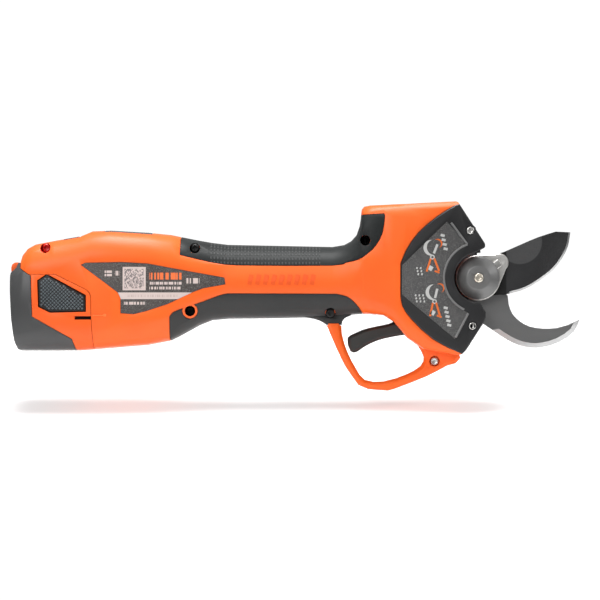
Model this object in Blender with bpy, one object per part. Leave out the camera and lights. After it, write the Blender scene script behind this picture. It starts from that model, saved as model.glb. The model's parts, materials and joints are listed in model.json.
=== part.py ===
"""Battery electric pruner, lying on its side view: blades towards +X, guard down, +Z up.

Sizes are in millimetres and SCALE turns them into metres.  Every shape is drawn from the blade
pivot: x runs forward to the blades, z up, and y from the right-hand side (-) to the left (+).
The empty pivot_datum then stands the whole tool on z = 0 with its length centred on x = 0.
"""
import math

import bmesh
import bpy
from mathutils import Vector

SCALE = 0.001

# Overall sizes
HEAD_REACH = 81.4           # pivot back to the front end of the grip
GRIP_LENGTH = 67.8
BODY_LENGTH = 66.8          # swelling behind the grip, back to the battery joint
BATTERY_LENGTH = 45.6
BLADE_REACH = 57.6          # pivot forward to the hook's tip
GUARD_DROP = 63.2           # pivot down to the lowest point of the trigger guard
GRIP_TOP = 17.8
GRIP_BOTTOM = -22.7
BODY_TOP = 26.7
BODY_BOTTOM = -41.0
HEAD_TOP = 43.2
BODY_HALF_WIDTH = 26.0
GRIP_HALF_WIDTH = 18.5
HEAD_HALF_WIDTH = 20.5

# Walls, gaps and fits
WALL = 3.0                  # body and grip shells
HEAD_WALL = 4.8
GAP = 0.3                   # between pieces that touch
SLIDE_GAP = 0.4             # around pieces that slide or turn in a shell
FIT = 0.1                   # radial clearance of shafts in bores
SPLIT = GAP / 2             # each shell half stops this far from the mid-plane
OVERMOLD_DEPTH = 1.5
LABEL_DEPTH = 0.5

# Blade stack, along y
BLADE_THICKNESS = 4.0
CUT_PLANE = -4.0            # the plane that the two blades pass each other in
PLATE_GAP = 0.3
TAIL_THICKNESS = 1.45
LOCK_PLATE_THICKNESS = 1.5
BOLT_RADIUS = 4.0
HUB_RADIUS = 12.0
NUT_RADIUS = 12.0
LOCK_RADIUS = 12.7
BLADE_TRAVEL = 54.0         # degrees from open to closed

# Bevel drive: both cones meet on the blade pivot
PINION_TEETH = 9
SECTOR_TEETH = 45           # teeth of the whole wheel that the sector is cut from
SECTOR_INNER = 18.5
SECTOR_OUTER = 25.5
SHAFT_RADIUS = 2.9
SHAFT_END_RADIUS = 1.6      # where the pinion sits
BEARING_RADIUS = 8.0
BEARING_WIDTH = 5.0

# Planetary gearbox and motor
GEAR_MODULE = 0.5
SUN_TEETH = 12
PLANET_TEETH = 15
PLANET_COUNT = 3
RING_TEETH = SUN_TEETH + 2 * PLANET_TEETH
GEAR_WIDTH = 6.0
PLANET_PIN_RADIUS = 1.5
DRIVE_RADIUS = 13.5         # outside of the gearbox and of the motor can
GEARBOX_LENGTH = 26.0
MOTOR_LENGTH = 40.0
ROTOR_RADIUS = 7.4
ROTOR_SHAFT_RADIUS = 1.4

# Battery pack
CELL_RADIUS = 9.15
CELL_LENGTH = 65.0
CELL_GAP = 0.3
PACK_WALL = 1.5
PACK_CORNER = 8.0           # outer corners follow the round cells
BUTTON_TRAVEL = 2.0
LATCH_DEPTH = 3.5           # slot in each side for the latch's tooth
LATCH_LENGTH = 9.2
LATCH_LEVELS = (-23.3, -21.4)
PLUG_HALF_WIDTH = 13.0

# Trigger
TRIGGER_PIVOT = (-36.0, -24.0)
TRIGGER_HALF_WIDTH = 6.0
TRIGGER_PIN_RADIUS = 1.5
GUARD_HALF_WIDTH = 5.6
GUARD_ROOT = -26.4          # the rubber ends here on the guard's rear leg
GUARD_CORE = (-83.2, -78.4)  # front and rear of the leg inside the rubber

# Screws
SCREW_HEAD_RADIUS = 2.6
SCREW_SHANK_RADIUS = 1.3
BOSS_RADIUS = 4.2
DISPLAY_HALF_WIDTH = 12.5
BUTTON_HALF_WIDTH = 8.0
BLADE_SCREW = (-0.5, -19.0)

# Places worked out from the sizes
X_GRIP_FRONT = -HEAD_REACH
X_GRIP_REAR = X_GRIP_FRONT - GRIP_LENGTH
X_JOINT = X_GRIP_REAR - BODY_LENGTH
X_TAIL = X_JOINT - BATTERY_LENGTH
PIVOT_X = (-X_TAIL - BLADE_REACH) / 2
FRONT = 8.0
FORM_RING = 16             # points round each cross-section of the casing
HOLLOW_RING = 12
ROUND = 24
BIG = 200.0
MERGE = 0.000004            # metres: joins points that a cut leaves on top of each other

MOVING_FAR = CUT_PLANE - PLATE_GAP / 2
MOVING_NEAR = MOVING_FAR - BLADE_THICKNESS
FIXED_NEAR = CUT_PLANE + PLATE_GAP / 2
FIXED_FAR = FIXED_NEAR + BLADE_THICKNESS
LOCK_FAR = MOVING_NEAR - GAP
LOCK_NEAR = LOCK_FAR - LOCK_PLATE_THICKNESS
NUT_FAR = LOCK_NEAR - GAP
NUT_NEAR = NUT_FAR - 6.75
FRAME_NEAR = 7.0
FRAME_FAR = 11.0
COVER_DEPTH = 2.8
COVER_FACE = HEAD_HALF_WIDTH + 0.4
COVER_FLOOR = COVER_FACE - COVER_DEPTH

BEARING_FRONT = -SECTOR_OUTER - 4.6
SHAFT_TAIL = X_GRIP_FRONT + 13.0        # rear end of the drive shaft's plate
GEARBOX_FRONT = SHAFT_TAIL + 4.5
GEARBOX_REAR = GEARBOX_FRONT - GEARBOX_LENGTH
MOTOR_FRONT = GEARBOX_REAR - GAP
MOTOR_REAR = MOTOR_FRONT - MOTOR_LENGTH

PACK_BOTTOM = BODY_BOTTOM + 5.4
PACK_INSIDE = 4 * CELL_RADIUS + CELL_GAP
PACK_TOP = PACK_BOTTOM + 2 * PACK_WALL + PACK_INSIDE
PACK_HALF_WIDTH = 2 * CELL_RADIUS + CELL_GAP / 2 + PACK_WALL
CELL_REAR = X_TAIL + 5.0
CELL_FRONT = CELL_REAR + CELL_LENGTH
PACK_FRONT = CELL_FRONT + 5.5

# ---------------------------------------------------------------- modelling helpers


def clear_scene():
    for item in list(bpy.data.objects):
        bpy.data.objects.remove(item, do_unlink=True)


def finish_material(name, colour, roughness, metallic=0.0):
    material = bpy.data.materials.new(name)
    material.use_nodes = True
    shader = material.node_tree.nodes["Principled BSDF"]
    shader.inputs["Base Color"].default_value = (*colour, 1.0)
    shader.inputs["Roughness"].default_value = roughness
    shader.inputs["Metallic"].default_value = metallic
    material.diffuse_color = (*colour, 1.0)
    return material


def solid(name, vertices, faces):
    """A closed mesh object from points in millimetres, with its faces turned outwards."""
    mesh = bpy.data.meshes.new(name)
    mesh.from_pydata([Vector(point) * SCALE for point in vertices], [], faces)
    shape = bmesh.new()
    shape.from_mesh(mesh)
    bmesh.ops.recalc_face_normals(shape, faces=shape.faces)
    shape.to_mesh(mesh)
    shape.free()
    item = bpy.data.objects.new(name, mesh)
    bpy.context.scene.collection.objects.link(item)
    return item


def loft(name, rings, closed=False):
    """Skin a row of rings with the same number of points; closed joins the last to the first."""
    count = len(rings[0])
    vertices = [point for ring in rings for point in ring]
    spans = len(rings) if closed else len(rings) - 1
    faces = []
    for row in range(spans):
        here = row * count
        there = ((row + 1) % len(rings)) * count
        for k in range(count):
            after = (k + 1) % count
            faces.append((here + k, here + after, there + after, there + k))
    if not closed:
        faces.append(tuple(reversed(range(count))))
        last = (len(rings) - 1) * count
        faces.append(tuple(range(last, last + count)))
    return solid(name, vertices, faces)


def place(axis, u, v, along):
    """A point from two numbers across an axis and one along it."""
    if axis == "X":
        return (along, u, v)
    if axis == "Y":
        return (u, along, v)
    return (u, v, along)


def inset_outline(outline, inset):
    """Move every edge of an outline inwards by inset, with mitred corners."""
    if inset == 0.0:
        return list(outline)
    count = len(outline)
    area = sum(outline[k][0] * outline[(k + 1) % count][1] - outline[(k + 1) % count][0] * outline[k][1]
               for k in range(count))
    turn = 1.0 if area > 0 else -1.0
    moved = []
    for k in range(count):
        before = Vector(outline[k - 1])
        here = Vector(outline[k])
        after = Vector(outline[(k + 1) % count])
        edge_in = (here - before).normalized()
        edge_out = (after - here).normalized()
        normal_in = Vector((-edge_in.y, edge_in.x)) * turn
        normal_out = Vector((-edge_out.y, edge_out.x)) * turn
        middle = (normal_in + normal_out).normalized()
        stretch = min(1.0 / max(middle.dot(normal_in), 0.3), 2.0)
        moved.append(tuple(here + middle * inset * stretch))
    return moved


def prism(name, outline, low, high, axis="Y", round_low=0.0, round_high=0.0, steps=2):
    """Extrude an outline along an axis; either end can have rounded edges."""
    layers = []
    if round_low > 0.0:
        for k in range(steps + 1):
            angle = math.pi / 2 * k / steps
            layers.append((round_low * (1 - math.sin(angle)), low + round_low * (1 - math.cos(angle))))
    else:
        layers.append((0.0, low))
    if round_high > 0.0:
        for k in range(steps, -1, -1):
            angle = math.pi / 2 * k / steps
            layers.append((round_high * (1 - math.sin(angle)), high - round_high * (1 - math.cos(angle))))
    else:
        layers.append((0.0, high))
    rings = [[place(axis, u, v, along) for u, v in inset_outline(outline, inset)] for inset, along in layers]
    return loft(name, rings)


def box(name, low, high):
    outline = [(low[0], low[2]), (high[0], low[2]), (high[0], high[2]), (low[0], high[2])]
    return prism(name, outline, low[1], high[1])


def circle(centre, radius, steps=ROUND, start=0.0, sweep=360.0):
    """Points on a circle or an arc, in degrees from the first axis towards the second."""
    count = steps if sweep == 360.0 else steps + 1
    points = []
    for k in range(count):
        angle = math.radians(start + sweep * k / steps)
        points.append((centre[0] + radius * math.cos(angle), centre[1] + radius * math.sin(angle)))
    return points


def turned(name, profile, axis, centre=(0.0, 0.0), steps=ROUND, bored=False):
    """Turn a profile of (radius, along) pairs about an axis; bored closes it round an open bore."""
    rings = [[place(axis, u, v, along) for u, v in circle(centre, radius, steps)] for radius,
             along in profile]
    return loft(name, rings, closed=bored)


def curve(points, steps=4, closed=False):
    """A smooth line through the given points (Catmull-Rom)."""
    count = len(points)
    spans = count if closed else count - 1
    line = []
    for k in range(spans):
        p1 = Vector(points[k])
        p2 = Vector(points[(k + 1) % count])
        p0 = Vector(points[k - 1]) if closed or k > 0 else p1 * 2 - p2
        p3 = Vector(points[(k + 2) % count]) if closed or k < count - 2 else p2 * 2 - p1
        for j in range(steps):
            t = j / steps
            spot = (p1 * 2 + (p2 - p0) * t + (p0 * 2 - p1 * 5 + p2 * 4 - p3) * t * t
                    + (p1 * 3 - p0 - p2 * 3 + p3) * t * t * t) / 2
            line.append(tuple(spot))
    if not closed:
        line.append(tuple(points[-1]))
    return line


def is_closed(mesh):
    shape = bmesh.new()
    shape.from_mesh(mesh)
    whole = len(shape.faces) > 0 and all(edge.is_manifold for edge in shape.edges)
    shape.free()
    return whole


def boolean(target, tool, operation):
    """Apply a Boolean and remove the tool: the exact solver, or the manifold one where that leaves a gap."""
    before = target.data.copy()
    for solver in ("EXACT", "MANIFOLD"):
        target.data = before.copy()
        modifier = target.modifiers.new("shape", "BOOLEAN")
        modifier.operation = operation
        modifier.solver = solver
        modifier.object = tool
        bpy.context.view_layer.objects.active = target
        bpy.ops.object.modifier_apply(modifier=modifier.name)
        shape = bmesh.new()
        shape.from_mesh(target.data)
        bmesh.ops.remove_doubles(shape, verts=shape.verts, dist=MERGE)
        bmesh.ops.dissolve_degenerate(shape, edges=shape.edges, dist=MERGE)
        shape.to_mesh(target.data)
        shape.free()
        if is_closed(target.data):
            break
    bpy.data.objects.remove(tool, do_unlink=True)
    return target


def cut(target, *tools):
    for tool in tools:
        boolean(target, tool, "DIFFERENCE")
    return target


def join(target, *tools):
    for tool in tools:
        boolean(target, tool, "UNION")
    return target


def common(target, tool):
    return boolean(target, tool, "INTERSECT")


def dress(item, material, origin=(0.0, 0.0, 0.0), smooth_angle=35.0):
    """Give a piece its material, its origin and its place under the datum."""
    item.data.materials.clear()
    item.data.materials.append(material)
    shift = Vector(origin) * SCALE
    for vertex in item.data.vertices:
        vertex.co -= shift
    item.data.shade_smooth()
    item.data.set_sharp_from_angle(angle=math.radians(smooth_angle))
    item.location = shift
    item.parent = DATUM
    return item


def side(name, right):
    """A block that covers the right or the left half of the tool, short of the mid-plane."""
    if right:
        return box(name, (-2 * BIG, -BIG, -BIG), (BIG, -SPLIT, BIG))
    return box(name, (-2 * BIG, SPLIT, -BIG), (BIG, BIG, BIG))


# ---------------------------------------------------------------- the outer form


def form_sections():
    """Cross-sections of the whole casing: x, top, bottom, half width, squareness, wall."""
    head = HEAD_HALF_WIDTH
    grip = GRIP_HALF_WIDTH
    body = BODY_HALF_WIDTH
    front = X_GRIP_FRONT
    rear = X_GRIP_REAR
    joint = X_JOINT
    tail = X_TAIL
    return [
        (tail - 1.0, BODY_TOP - 19.5, BODY_BOTTOM, body - 6.0, 3.6, WALL),
        (tail + 2.2, BODY_TOP - 16.5, BODY_BOTTOM, body - 3.0, 3.8, WALL),
        (tail + 6.5, BODY_TOP - 13.5, BODY_BOTTOM, body - 1.4, 4.0, WALL),
        (tail + 9.6, BODY_TOP - 9.6, BODY_BOTTOM, body - 0.8, 4.0, WALL),
        (tail + 13.0, BODY_TOP - 7.8, BODY_BOTTOM, body - 0.4, 4.0, WALL),
        (joint - 20.5, BODY_TOP - 5.5, BODY_BOTTOM, body, 4.1, WALL),
        (joint - 7.5, BODY_TOP - 3.3, BODY_BOTTOM + 0.1, body, 4.1, WALL),
        (joint - 0.5, BODY_TOP - 0.4, BODY_BOTTOM + 0.6, body, 4.2, WALL),
        (joint + 10.0, BODY_TOP, BODY_BOTTOM + 1.5, body, 4.2, WALL),
        (joint + 31.0, BODY_TOP - 1.2, BODY_BOTTOM + 3.2, body - 0.6, 3.9, WALL),
        (rear - 23.0, BODY_TOP - 2.5, BODY_BOTTOM + 5.7, body - 2.4, 3.2, WALL),
        (rear - 17.6, BODY_TOP - 3.6, BODY_BOTTOM + 8.4, body - 3.8, 2.8, WALL),
        (rear - 7.0, GRIP_TOP + 3.2, GRIP_BOTTOM - 4.0, grip + 2.2, 2.35, WALL),
        (rear, GRIP_TOP + 2.0, GRIP_BOTTOM - 1.2, grip + 0.9, 2.3, WALL),
        (rear + 9.0, GRIP_TOP + 0.9, GRIP_BOTTOM - 0.3, grip + 0.2, 2.3, WALL),
        (rear + 32.0, GRIP_TOP + 0.4, GRIP_BOTTOM - 0.1, grip, 2.3, WALL),
        (front, GRIP_TOP - 0.3, GRIP_BOTTOM + 0.7, grip + 0.3, 2.5, WALL),
        (front + 6.5, GRIP_TOP + 0.8, GRIP_BOTTOM + 1.5, grip + 0.8, 2.8, WALL + 0.2),
        (front + 10.4, GRIP_TOP + 2.9, GRIP_BOTTOM + 1.9, grip + 1.1, 3.1, WALL + 0.4),
        (front + 13.5, GRIP_TOP + 6.4, GRIP_BOTTOM + 2.2, grip + 1.3, 3.4, WALL + 0.6),
        (front + 15.2, GRIP_TOP + 11.4, GRIP_BOTTOM + 2.3, grip + 1.5, 3.7, WALL + 0.8),
        (front + 16.0, GRIP_TOP + 16.4, GRIP_BOTTOM + 2.3, grip + 1.6, 4.0, WALL + 1.0),
        (front + 16.4, HEAD_TOP - 4.7, GRIP_BOTTOM + 2.3, grip + 1.7, 4.2, WALL + 1.1),
        (front + 17.7, HEAD_TOP - 3.0, GRIP_BOTTOM + 2.3, grip + 1.8, 4.6, WALL + 1.2),
        (front + 21.3, HEAD_TOP - 2.3, GRIP_BOTTOM + 2.3, head, 5.5, HEAD_WALL),
        (-52.6, HEAD_TOP - 2.0, -21.4, head, 7.0, HEAD_WALL),
        (-47.5, HEAD_TOP - 1.7, -24.6, head, 7.5, HEAD_WALL),
        (-39.8, HEAD_TOP - 1.4, -33.7, head, 8.0, HEAD_WALL),
        (-31.0, HEAD_TOP - 0.9, -40.1, head, 8.0, HEAD_WALL),
        (-12.5, HEAD_TOP, -43.4, head, 8.0, HEAD_WALL),
        (FRONT, HEAD_TOP + 0.6, -44.0, head, 8.0, HEAD_WALL),
    ]


def form_ring(x, top, bottom, half_width, squareness, count=FORM_RING):
    """One cross-section: a rounded box whose corners sharpen with its squareness."""
    middle = (top + bottom) / 2
    half_height = (top - bottom) / 2
    ring = []
    for k in range(count):
        angle = 2 * math.pi * k / count
        across = math.cos(angle)
        up = math.sin(angle)
        y = half_width * math.copysign(abs(across) ** (2 / squareness), across)
        z = half_height * math.copysign(abs(up) ** (2 / squareness), up)
        ring.append((x, y, middle + z))
    return ring


def form(name, inset=0.0):
    """The casing's outer form, shrunk all round by inset."""
    rings = [form_ring(x, top - inset, bottom + inset, half_width - inset, squareness)
             for x, top, bottom, half_width, squareness, wall in form_sections()]
    return loft(name, rings)


def form_inside(name):
    """The hollow of the casing, open at the battery joint and at the blade end."""
    rings = []
    for x, top, bottom, half_width, squareness, wall in form_sections():
        if x < X_TAIL + 6.0:
            continue
        shift = wall if x < X_TAIL + 10.0 else 0.0
        rings.append(form_ring(x + shift, top - wall, bottom + wall, half_width - wall, squareness,
                               HOLLOW_RING))
    rings.append([(FRONT + 4.0, y, z) for x, y, z in rings[-1]])
    return loft(name, rings)


def front_edge():
    """Front line of the head, from its top corner down to its bottom corner."""
    return [(-22.9, 60.0), (-10.8, 41.3), (3.2, 19.6), (3.6, 18.6), (3.4, 17.2), (0.8, 15.6),
            (0.8, -14.1), (3.9, -19.3), (3.7, -22.0), (2.7, -25.0), (-7.0, -40.4), (-9.9, -43.3)]


def joint_edge():
    """Line where the casing meets the battery, from the bottom up to the rear corner."""
    return [(X_JOINT + 1.6, BODY_BOTTOM - 5.0), (X_JOINT, -21.4), (X_JOINT, -11.2), (X_JOINT - 0.6, -8.6),
            (X_JOINT - 2.2, -6.7), (X_JOINT - 19.8, 1.9), (X_JOINT - 34.8, 1.9), (X_TAIL + 6.2, 5.3),
            (X_TAIL + 6.1, 9.0), (X_TAIL + 6.7, 12.2), (X_TAIL + 9.4, 16.5), (X_TAIL + 12.2, 18.6)]


def casing_region(name):
    outline = front_edge() + [(-12.0, -60.0), (X_JOINT + 1.6, -60.0)] + joint_edge()
    outline += [(X_TAIL + 12.2, 60.0)]
    return prism(name, outline, -BIG, BIG)


def battery_outline():
    """Side view of the battery pack behind the joint."""
    edge = joint_edge()[:8]
    line = [(u - GAP * 0.9, v - GAP * 0.6) for u, v in edge]
    rear = [(X_TAIL + 5.8, 8.4), (X_TAIL + 4.6, 8.4), (X_TAIL + 3.6, 5.6), (X_TAIL + 0.4, 2.9),
            (X_TAIL, 1.1), (X_TAIL, -7.5), (X_TAIL + 0.8, -23.2), (X_TAIL + 2.4, -35.0),
            (X_TAIL + 4.0, -39.5), (X_TAIL + 5.6, -41.6)]
    return line + rear


def guard_outline():
    """The trigger guard's bar, closed through the head and the grip's root."""
    outer = curve([(-84.4, -27.4), (-79.0, -40.1), (-73.9, -50.3), (-67.0, -60.2)], 2)
    outer += curve([(-61.5, -62.5), (-52.6, -GUARD_DROP), (-47.0, -62.5), (-27.6, -54.9), (-17.3, -49.4),
                    (-12.4, -48.1), (-9.6, -44.8)], 2)
    root = [(-10.5, -41.6), (-30.0, -36.0)]
    inner = list(reversed(curve([(-76.4, -24.0), (-76.2, -31.7), (-73.2, -41.4), (-68.7, -50.3),
                                 (-63.3, -57.4), (-52.6, -58.3), (-39.8, -54.3), (-31.9, -49.6),
                                 (-30.1, -44.5), (-33.0, -38.8)], 2)))
    return outer + root + inner + [(-77.5, -18.0), (-92.5, -18.0), (-92.5, -22.9), (-88.0, -24.4)]


def guard_root_outline():
    """Side view of the rubber that flows down over the root of the guard's rear leg."""
    rear = [(-94.5, -17.0), (-97.0, -22.2), (-92.0, -23.0), (-88.8, -24.0), (-86.6, -25.2)]
    front = [(-76.4, GUARD_ROOT), (-75.9, -24.2), (-74.6, -22.6), (-71.0, -21.0), (-71.0, -17.0)]
    return rear + [(-85.0, GUARD_ROOT)] + front


def shell_screws():
    """Places of the casing screws, seen from the right."""
    return [(X_TAIL + 19.8, BODY_TOP - 10.0), (X_GRIP_REAR - 9.4, GRIP_TOP - 1.2),
            (X_GRIP_REAR - 12.0, GRIP_BOTTOM + 4.2), (X_GRIP_FRONT - 1.4, GRIP_BOTTOM + 3.0),
            (X_GRIP_FRONT + 18.0, GRIP_TOP + 3.1), (-24.2, -46.8)]


def upper_grip_region():
    """Side view of the upper rubber: over the grip's top and round the horn behind the head."""
    lower = curve([(X_GRIP_REAR - 17.5, 12.9), (X_GRIP_REAR - 7.2, 10.4), (X_GRIP_REAR + 7.1, 7.6),
                   (X_GRIP_REAR + 25.0, 7.0), (X_GRIP_FRONT, 7.0), (-74.2, 8.6), (-67.4, 10.2),
                   (-62.4, 13.4), (-57.5, 18.1), (-53.9, 25.1), (-52.5, 34.6)], 2)
    return lower + [(-53.0, 35.7), (-72.0, 34.6), (-84.0, 60.0), (X_GRIP_REAR - 16.4, 60.0)]


def lower_grip_region():
    """Side view of the lower rubber: under the grip, with its root behind the guard."""
    upper = curve([(X_GRIP_REAR - 23.2, -21.7), (X_GRIP_REAR - 21.2, -19.3), (X_GRIP_REAR - 16.5, -17.3),
                   (X_GRIP_REAR - 7.0, -14.2), (X_GRIP_REAR + 4.6, -9.9), (X_GRIP_REAR + 9.0, -8.9)], 2)
    front = curve([(X_GRIP_FRONT + 2.0, -9.1), (-73.6, -10.6), (-70.0, -13.2), (-67.0, -16.6),
                   (-64.9, -20.0)], 2)
    return upper + front + [(-64.9, -60.0), (X_GRIP_REAR - 23.2, -60.0)]


def rating_outline():
    """Side view of the rating label on the body."""
    return [(X_JOINT - 5.5, 7.1), (X_JOINT - 3.1, 8.2), (X_JOINT + 17.3, 8.6), (X_JOINT + 31.4, 7.8),
            (X_GRIP_REAR - 16.5, 4.3), (X_GRIP_REAR + 7.1, 0.0), (X_GRIP_REAR + 7.7, -3.6),
            (X_GRIP_REAR - 4.3, -5.7), (X_GRIP_REAR - 10.2, -7.9), (X_GRIP_REAR - 24.3, -14.6),
            (X_JOINT + 30.6, -18.5), (X_JOINT + 23.6, -20.2), (X_JOINT + 16.5, -19.7),
            (X_JOINT + 16.5, -11.4), (X_JOINT + 15.0, -8.3), (X_JOINT + 7.8, -2.8)]


def skin(name, outline, depth, right):
    """The part of the outer form inside an outline, depth thick, on one side of the tool."""
    piece = prism(name, outline, -BIG, BIG)
    common(piece, form("form"))
    cut(piece, form("form", depth))
    return common(piece, side("side", right))


def pocket(outline, depth, clearance):
    """A cutter that sinks a skin's bed into the casing, and leaves the guard's bar whole."""
    tool = prism("pocket", inset_outline(outline, -clearance), -BIG, BIG)
    return cut(tool, form("form", depth), guard_bar("guard", 0.0))


def guard_bar(name, grow):
    """The trigger guard's bar, with rounded edges."""
    half = GUARD_HALF_WIDTH + grow
    return prism(name, inset_outline(guard_outline(), -grow), -half, half, round_low=1.8, round_high=1.8,
                 steps=1)


def guard_root(name, grow, depth):
    """The sleeve of rubber round the guard's rear leg, outside a depth below the outer form."""
    half = GUARD_HALF_WIDTH + grow
    sleeve = prism(name, inset_outline(guard_root_outline(), -grow), -half, half, round_low=1.4,
                   round_high=1.4, steps=1)
    return cut(sleeve, form("form", depth))


def guard_core(name, grow):
    """The part of the guard's rear leg that runs up inside the rubber sleeve."""
    half = GUARD_HALF_WIDTH - OVERMOLD_DEPTH * 1.4 + grow
    low = (GUARD_CORE[0] - grow, -half, GUARD_ROOT - 3.0)
    return box(name, low, (GUARD_CORE[1] + grow, half, -10.0))


def half_y(right, outer, inner):
    """Sort two distances from the mid-plane into low and high y for one side."""
    return (-outer, -inner) if right else (inner, outer)


# ---------------------------------------------------------------- casing


def cover_outline():
    """Side view of the head cover, with its notch round the pivot nut."""
    left = curve([(-12.5, 40.9), (-23.6, 33.9), (-33.8, 25.1), (-40.3, 15.8), (-43.6, 8.0)], 2)
    left += curve([(-43.6, -10.2), (-42.6, -15.8), (-37.5, -23.2), (-25.4, -34.4), (-9.4, -42.6)], 2)
    bottom = [(-7.0, -40.2), (2.7, -25.0), (3.7, -22.0), (3.7, -19.3)]
    notch = list(reversed(circle((0.0, 0.0), LOCK_RADIUS + 1.2, 12, 101.0, 172.0)))
    return left + bottom + notch + [(2.9, 16.6), (3.5, 17.4), (3.2, 19.4), (-10.9, 41.2)]


def panel_outline():
    """Side view of the instruction panel on the right cover."""
    arc = circle((0.0, 0.0), 20.4, 8, 110.0, 142.0)
    return [(-18.0, 31.3), (-7.4, 19.8)] + arc + [(-13.6, -34.0), (-43.0, -9.3), (-43.0, 6.9)]


def cover_screws():
    return [(-4.8, 26.4), (-3.6, -26.9)]


def notch_radius(right):
    return LOCK_RADIUS + 1.2 if right else 11.0


def boss(centre, outer, radius):
    """A post across both casing halves, which the split then parts."""
    return prism("boss", circle(centre, radius, 12), -outer, outer)


def bore(centre, right, outer, inner, radius, turn=0.0):
    low, high = half_y(right, outer, inner)
    return prism("bore", circle(centre, radius, 12, turn), low, high)


def screw_seat(centre):
    """How deep the screw head sits from the mid-plane."""
    return 3.2 if centre[1] < -40.0 else 9.5


def whole_casing():
    """Both casing halves in one piece, before they are split along the mid-plane."""
    shell = form("casing")
    common(shell, casing_region("region"))
    cut(shell, form_inside("inside"))
    join(shell, guard_bar("guard", 0.0))
    for centre in shell_screws()[:5]:
        depth = 17.0 if centre[0] < X_GRIP_REAR - 20.0 else 13.5
        join(shell, common(boss(centre, depth, BOSS_RADIUS), form("form", 0.8)))
    for centre in cover_screws():
        for low, high in ((-COVER_FLOOR + 1.0, -COVER_FLOOR + 7.0), (COVER_FLOOR - 7.0, COVER_FLOOR - 1.0)):
            join(shell, prism("boss", circle(centre, 3.5, 12), low, high))
    # beds for the rubber, the labels, the top panel and the buttons
    cut(shell, pocket(upper_grip_region(), OVERMOLD_DEPTH + GAP, GAP))
    cut(shell, pocket(lower_grip_region(), OVERMOLD_DEPTH + GAP, GAP))
    cut(shell, pocket(rating_outline(), LABEL_DEPTH + GAP, 0.2))
    cut(shell, top_panel("panel", GAP), power_button_form("button", SLIDE_GAP))
    # the guard's rear leg, thinned where the rubber runs down over it
    cut(shell, cut(guard_root("root", GAP, OVERMOLD_DEPTH + GAP / 2), guard_core("core", 0.0)))
    # the ring of the casing that shows through the lower rubber round its rear screw
    join(shell, common(boss(shell_screws()[2], BIG, BOSS_RADIUS), cut(form("form", 0.1), form("form", 4.0))))
    # the ways in for the battery tongue and for the trigger
    cut(shell, pack_tongue("tongue", SLIDE_GAP, X_TAIL - 5.0))
    cut(shell, box("slot", (-57.0, -TRIGGER_HALF_WIDTH - SLIDE_GAP, -38.0),
                   (-30.0, TRIGGER_HALF_WIDTH + SLIDE_GAP, -15.0)))
    cut(shell, prism("pin", circle(TRIGGER_PIVOT, TRIGGER_PIN_RADIUS + FIT, 16), -COVER_FLOOR + 0.6,
                     COVER_FLOOR - 0.6))
    for centre in shell_screws() + cover_screws():
        cut(shell, prism("hole", circle(centre, SCREW_SHANK_RADIUS + FIT, 12), -BIG, BIG))
    return shell


def casing_half(whole, right):
    name = "housing_right" if right else "housing_left"
    shell = bpy.data.objects.new(name, whole.data.copy())
    bpy.context.scene.collection.objects.link(shell)
    low, high = half_y(right, BIG, COVER_FLOOR - GAP)
    cut(shell, prism("bed", inset_outline(cover_outline(), -GAP), low, high))
    low, high = half_y(right, BIG, -5.0)
    cut(shell, prism("notch", circle((0.0, 0.0), notch_radius(right)), low, high))
    if right:
        for centre in shell_screws():
            cut(shell, bore(centre, right, 30.0, screw_seat(centre), SCREW_HEAD_RADIUS + SLIDE_GAP, 8.0))
    common(shell, side("side", right))
    return dress(shell, ORANGE)


def grip_rubber(name, outline, right, holes, over_guard=False):
    """One side's rubber skin; each of its holes has a centre, a radius and an outer end."""
    piece = skin(name, outline, OVERMOLD_DEPTH, right)
    if over_guard:
        sleeve = common(guard_root("root", 0.0, OVERMOLD_DEPTH - GAP), side("side", right))
        join(piece, sleeve)
        cut(piece, guard_core("core", GAP))
    for centre, radius, outer in holes:
        cut(piece, bore(centre, right, outer, 0.0, radius))
    return dress(piece, RUBBER)


def casing():
    head = SCREW_HEAD_RADIUS + SLIDE_GAP
    ring_hole = (shell_screws()[2], BOSS_RADIUS + GAP, BIG)
    tip_hole = (shell_screws()[3], SCREW_SHANK_RADIUS + GAP, 9.0)
    whole = whole_casing()
    for right in (True, False):
        word = "right" if right else "left"
        casing_half(whole, right)
        # the screws go in from the right, so only that side's rubber has wells for their heads
        upper_holes = [(shell_screws()[k], head, BIG) for k in (1, 4)] if right else []
        lower_holes = [ring_hole, (shell_screws()[3], head, BIG) if right else tip_hole]
        grip_rubber("grip_top_" + word, upper_grip_region(), right, upper_holes)
        grip_rubber("grip_bottom_" + word, lower_grip_region(), right, lower_holes, over_guard=True)
    label = skin("rating_label", rating_outline(), LABEL_DEPTH, True)
    dress(label, LABEL)
    badge = skin("side_badge", rating_outline(), LABEL_DEPTH, False)
    dress(badge, LABEL)
    bpy.data.objects.remove(whole, do_unlink=True)


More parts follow.
